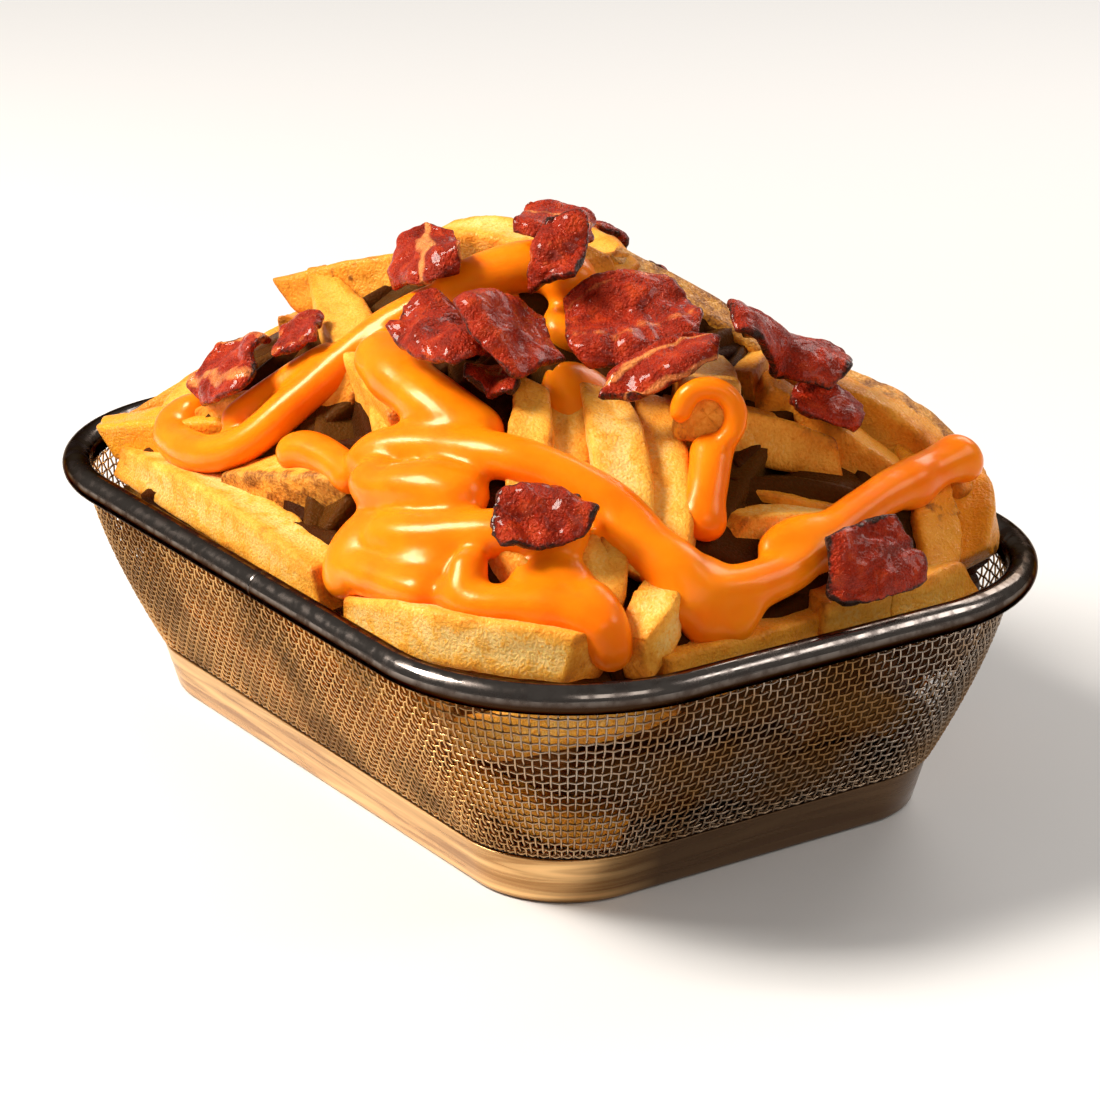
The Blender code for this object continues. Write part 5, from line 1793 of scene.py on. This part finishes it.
@dataclass(frozen=True)
class BaconPieces:
    """Crumpled bacon that lies on the heap where its solids lie."""

    basket: Basket
    heap: Heap
    thickness: float = 2.0 * MM
    steps: tuple[int, int] = (5, 4)
    samples: int = 4
    clearance: float = 0.45 * MM
    deepest: float = -4.0 * MM
    fine: tuple[int, int] = (84, 66)
    meat_thickness: float = 2.2 * MM
    thin_edge: float = 0.30
    thinnest: float = 0.2 * MM
    probe: float = 40.0 * MM
    tear: float = 0.20
    tear_start: float = 0.03
    torn_reach: float = 2.2
    fold_share: float = 0.9
    ripple_share: float = 0.22
    swell_share: float = 1.1
    warp: float = 0.25
    band_rate: float = 5.2
    fat_swelling: float = 0.25
    rough: float = 0.10 * MM
    char_edge_share: float = 0.40
    torn: Texture = (0.9, 3, 51)
    folds: Texture = (6.5 * MM, 2, 53)
    ripples: Texture = (3.4 * MM, 2, 57)
    swells: Texture = (11.0 * MM, 2, 59)
    warps: Texture = (9.0 * MM, 2, 61)
    grains: Texture = (1.4 * MM, 1, 63)
    scorches: Texture = (4.0 * MM, 3, 67)
    tones: Texture = (5.0 * MM, 3, 71)
    fat_edge: Span = (0.95, 1.35)
    char_edge: Span = (0.72, 1.0)

    def tree_of(self, node: str) -> BVHTree:
        """A search tree over a CAD node's triangles."""
        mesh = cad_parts[node].data
        points = np.empty(len(mesh.vertices) * 3)
        mesh.vertices.foreach_get("co", points)
        corners = np.empty(len(mesh.loops), dtype=np.int64)
        mesh.loops.foreach_get("vertex_index", corners)
        return BVHTree.FromPolygons(points.reshape(-1, 3).tolist(), corners.reshape(-1, 3).tolist())

    def resting(self, centre: Array, axes: tuple[Array, Array, Array], spread: tuple[Array, Array],
                trees: list[BVHTree]) -> Array:
        """Highest thing under each sample of a patch, measured along the patch's normal."""
        along, across, normal = axes
        heights = np.full((len(spread[0]), len(spread[1])), self.deepest)
        for i, u in enumerate(spread[0]):
            for j, v in enumerate(spread[1]):
                start = Vector(centre + along * u + across * v + normal * self.probe)
                for tree in trees:
                    hit = tree.ray_cast(start, Vector(-normal))
                    if hit[0] is not None:
                        heights[i, j] = max(heights[i, j], self.probe - hit[3])
        return heights

    def middle_grid(self, row: tuple, trees: list[BVHTree],
                    rng: np.random.Generator) -> tuple[Array, Array]:
        """The grid of points halfway through a piece's solid, and the direction its face looks.

        Args:
            row: The piece's row in the table.
            trees: What it rests on.
            rng: The draws for its waves and its ragged edge.

        Returns:
            The grid and the face's direction.
        """
        _, centre, length, width, turn, curl, face = row
        centre = np.array(centre) * MM
        normal = self.heap.normal(centre[0], centre[1])
        if face is not None:
            tilt, towards = (math.radians(angle) for angle in face)
            normal = np.array((math.sin(tilt) * math.cos(towards), math.sin(tilt) * math.sin(towards),
                               math.cos(tilt)))
        heading = np.array((math.cos(math.radians(turn)), math.sin(math.radians(turn)), 0.0))
        along = unit(heading - normal * (heading @ normal))
        across = np.cross(normal, along)
        steps_u, steps_v = self.steps
        fine_u = np.linspace(-0.5, 0.5, steps_u * self.samples + 1) * length * MM
        fine_v = np.linspace(-0.5, 0.5, steps_v * self.samples + 1) * width * MM
        heights = self.resting(centre, (along, across, normal), (fine_u, fine_v), trees)
        rests = np.empty((steps_u + 1, steps_v + 1))
        for i in range(steps_u + 1):
            for j in range(steps_v + 1):
                near_u = slice(max((i - 1) * self.samples, 0), (i + 1) * self.samples + 1)
                near_v = slice(max((j - 1) * self.samples, 0), (j + 1) * self.samples + 1)
                rests[i, j] = heights[near_u, near_v].max()
        u, v = np.meshgrid(np.linspace(-1, 1, steps_u + 1), np.linspace(-1, 1, steps_v + 1),
                           indexing="ij")
        phase = rng.uniform(0.0, TAU, 3)
        wave = 0.5 * curl * MM * (1 + np.sin(2.6 * u + 1.4 * v + phase[0]) * np.cos(1.9 * v + phase[1]))
        settled = rests.copy()
        for _ in range(3):
            blurred = settled.copy()
            blurred[1:-1, 1:-1] = 0.25 * (settled[:-2, 1:-1] + settled[2:, 1:-1]
                                          + settled[1:-1, :-2] + settled[1:-1, 2:])
            settled = np.maximum(blurred, rests)
        lower = settled + self.clearance + wave
        ragged = 1 + 0.10 * np.sin(3.1 * v + phase[2]) + 0.06 * rng.uniform(-1, 1, u.shape)
        edge_u = u * length / 2 * MM * ragged * (1 - 0.22 * v ** 2)
        edge_v = v * width / 2 * MM * (1 - 0.25 * u ** 2 + 0.08 * np.sin(2.2 * u + phase[0]))
        middle = lower + self.thickness / 2
        grid = (centre + edge_u[..., None] * along + edge_v[..., None] * across
                + middle[..., None] * normal)
        return grid, normal

    def facing_normals(self, points: Array, facing: Array) -> Array:
        """Normals of a grid of points, on the side that the piece's face looks to."""
        normal = unit(np.cross(np.gradient(points, axis=0), np.gradient(points, axis=1)))
        return normal * np.sign((normal @ facing).mean())

    def build_piece(self, name: str, grid: Array, facing: Array, seed: int,
                    material: bpy.types.Material) -> None:
        """Make one piece.

        Formula: a smooth surface through the solid's middle, its border pulled in unevenly, crumpled
        along its face by folded noise, and thickened with a rounded edge.

        Args:
            name: The piece's name in the tables.
            grid: Points halfway through its solid.
            facing: The direction its face looks.
            seed: Changes its folds.
            material: The finish of bacon.
        """
        fat_share, char_share, crumple = BACON_LOOKS[name]
        rows, columns = self.fine
        u, v = np.meshgrid(np.linspace(-1, 1, rows), np.linspace(-1, 1, columns), indexing="ij")
        border = np.maximum(np.abs(u), np.abs(v))
        angle = np.arctan2(v, u)
        round_place = np.stack([self.torn_reach * np.cos(angle), self.torn_reach * np.sin(angle),
                                np.full_like(u, seed * 1.7)], -1)
        torn = 0.5 + 0.5 * layered_noise(round_place, *self.torn)
        pull = 1.0 - (self.tear * torn + self.tear_start) * border ** 3
        spots = surface_at(grid, (u * pull + 1) / 2 * (grid.shape[0] - 1),
                           (v * pull + 1) / 2 * (grid.shape[1] - 1))
        local = spots + np.array((seed * 0.53, seed * 0.29, 0.0))
        fold = 1.0 - np.abs(layered_noise(local, *self.folds)) * 2.0
        crumpled = crumple * MM * (self.fold_share * np.clip(fold, -0.3, 1.0)
                                   + self.ripple_share * layered_noise(local, *self.ripples)
                                   + self.swell_share * layered_noise(local, *self.swells))
        middle = spots + crumpled[..., None] * self.facing_normals(spots, facing)
        normal = self.facing_normals(middle, facing)
        warped = v + self.warp * layered_noise(local, *self.warps)
        bands = 0.5 + 0.5 * np.cos(warped * self.band_rate + seed * 2.1)
        fat = smooth_step(bands + fat_share, *self.fat_edge)
        edge = np.sqrt(np.clip(1.0 - border ** 10, 0.0, 1.0))
        slim = self.thin_edge + (1.0 - self.thin_edge) * edge
        half = 0.5 * self.meat_thickness * slim * (1.0 + self.fat_swelling * fat)
        half = half + self.rough * layered_noise(local, *self.grains)
        half = np.maximum(half, self.thinnest)
        over = middle + half[..., None] * normal
        under = middle - half[..., None] * normal
        for face in (over, under):
            face[..., 2] = np.minimum(face[..., 2], CAD_BOX[1][2])
        near_edge = smooth_step(border, *self.char_edge)
        scorch = layered_noise(local, *self.scorches)
        char = (near_edge * (self.char_edge_share + char_share) + char_share * 0.5 * scorch
                + 0.25 * (scorch - 0.2) * near_edge)
        tone = 0.5 + 0.5 * layered_noise(local, *self.tones)
        marks = np.stack([fat, np.clip(char, 0.0, 1.0), tone, border], -1)
        size = rows * columns
        faces_over = grid_faces(rows, columns)
        faces_under = faces_over[:, ::-1] + size
        index = np.arange(size).reshape(rows, columns)
        loop = np.concatenate([index[:-1, 0], index[-1, :-1], index[:0:-1, -1], index[0, :0:-1]])
        after = np.roll(loop, -1)
        rim_faces = np.stack([loop, after, after + size, loop + size], -1)
        faces = [np.vstack([faces_over, faces_under, rim_faces])]
        piece = Mesh.make(f"bacon_slice_{name}", np.stack([over, under]), faces, np.stack([marks, marks]))
        Mesh.face_out(piece)
        Mesh.dress(piece, material, Slot.BACON, f"bacon_{name}")

    def build(self, rng: np.random.Generator, material: bpy.types.Material) -> None:
        """Make every piece, each resting on the heap and the pieces before it.

        Args:
            rng: The draws, after those of the fries.
            material: The finish of bacon.
        """
        trees = [self.tree_of("fries")]
        for seed, row in enumerate(BACON):
            grid, facing = self.middle_grid(row, trees, rng)
            trees.append(self.tree_of(f"bacon_{row[0]}"))
            self.build_piece(row[0], grid, facing, seed, material)


@dataclass(frozen=True)
class Studio:
    """A plain pale floor, soft light and the camera at the photograph's angle."""

    eye: Place = (731.2 * MM, -485.9 * MM, 372.8 * MM)
    aim: Place = (159.2 * MM, -102.0 * MM, 116.8 * MM)
    lens: float = 129.97
    sensor: float = 36.0
    floor_half: float = 3.0
    sky: Colour = (1.0, 0.96, 0.91)
    sky_strength: float = 0.20
    lamp_aim: Place = (0.0, 0.0, 0.07)
    lamps: tuple[tuple[str, Place, Span, float, Colour], ...] = (
        ("key", (-0.38, -0.62, 0.78), (0.36, 0.36), 19.0, (1.0, 0.95, 0.88)),
        ("front", (0.75, -0.15, 0.55), (0.5, 0.3), 1.0, (1.0, 0.94, 0.88)),
        ("back", (-0.30, 0.75, 0.65), (0.5, 0.4), 3.0, (1.0, 0.96, 0.92)),
        ("side", (0.46, 0.56, 0.62), (0.32, 0.32), 1.7, (1.0, 0.97, 0.94)),
    )

    def look_at(self, thing: bpy.types.Object, spot: Place, aim: Place) -> None:
        """Place a lamp or the camera and turn it to a point."""
        thing.location = spot
        thing.rotation_euler = (Vector(aim) - Vector(spot)).to_track_quat("-Z", "Y").to_euler()

    def lamp(self, name: str, spot: Place, size: Span, power: float, colour: Colour) -> None:
        """Add a soft rectangular lamp that faces the food."""
        data = bpy.data.lights.new(name, "AREA")
        data.shape = "RECTANGLE"
        data.size, data.size_y = size
        data.energy = power
        data.color = colour
        made = bpy.data.objects.new(name, data)
        bpy.context.scene.collection.objects.link(made)
        self.look_at(made, spot, self.lamp_aim)

    def build(self) -> None:
        """Make the floor, the lamps, the world and the camera."""
        corners = np.array(((-1, -1, 0), (1, -1, 0), (1, 1, 0), (-1, 1, 0))) * self.floor_half
        floor = Mesh.make("floor", corners, [np.array(((0, 1, 2, 3),))])
        floor.data.materials.append(PlainFloor().build())
        for lamp in self.lamps:
            self.lamp(*lamp)
        world = bpy.data.worlds.new("Soft room")
        world.use_nodes = True
        background = world.node_tree.nodes["Background"].inputs
        background["Color"].default_value = (*self.sky, 1.0)
        background["Strength"].default_value = self.sky_strength
        bpy.context.scene.world = world
        data = bpy.data.cameras.new("camera")
        data.lens = self.lens
        data.sensor_width = self.sensor
        data.clip_start = 0.01
        camera = bpy.data.objects.new("camera", data)
        bpy.context.scene.collection.objects.link(camera)
        self.look_at(camera, self.eye, self.aim)
        bpy.context.scene.camera = camera
        bpy.context.scene.view_settings.view_transform = "Standard"


def main() -> None:
    """Build every piece in order and dress it."""
    logging.basicConfig(level=logging.INFO, format="%(message)s")
    basket = Basket()
    heap = Heap()
    steel = PolishedSteel().build()
    wire = SteelWire().build()
    potato = FriedPotato().build()
    Rim(basket).build(steel)
    FootBand(basket).build(FootSteel().build())
    WovenWire(basket).build(wire)
    rng = np.random.default_rng(SEED)
    fries = FryHeap(basket, heap)
    FryMaker(basket, 50, 48).build("near_fries", fries.placed(rng), potato)
    FryMaker(basket, 36, 24).build("far_fries", fries.far(rng), potato)
    FryMaker(basket, 30, 20).build("wall_fries", fries.against_wall(rng), potato)
    FryMaker(basket, 26, 20).build("deep_fries", fries.below(), potato)
    fries.core(potato)
    CheesePour(basket, heap).build(CheeseSauce().build())
    BaconPieces(basket, heap).build(rng, FriedBacon().build())
    Studio().build()


if __name__ == "__main__":
    main()
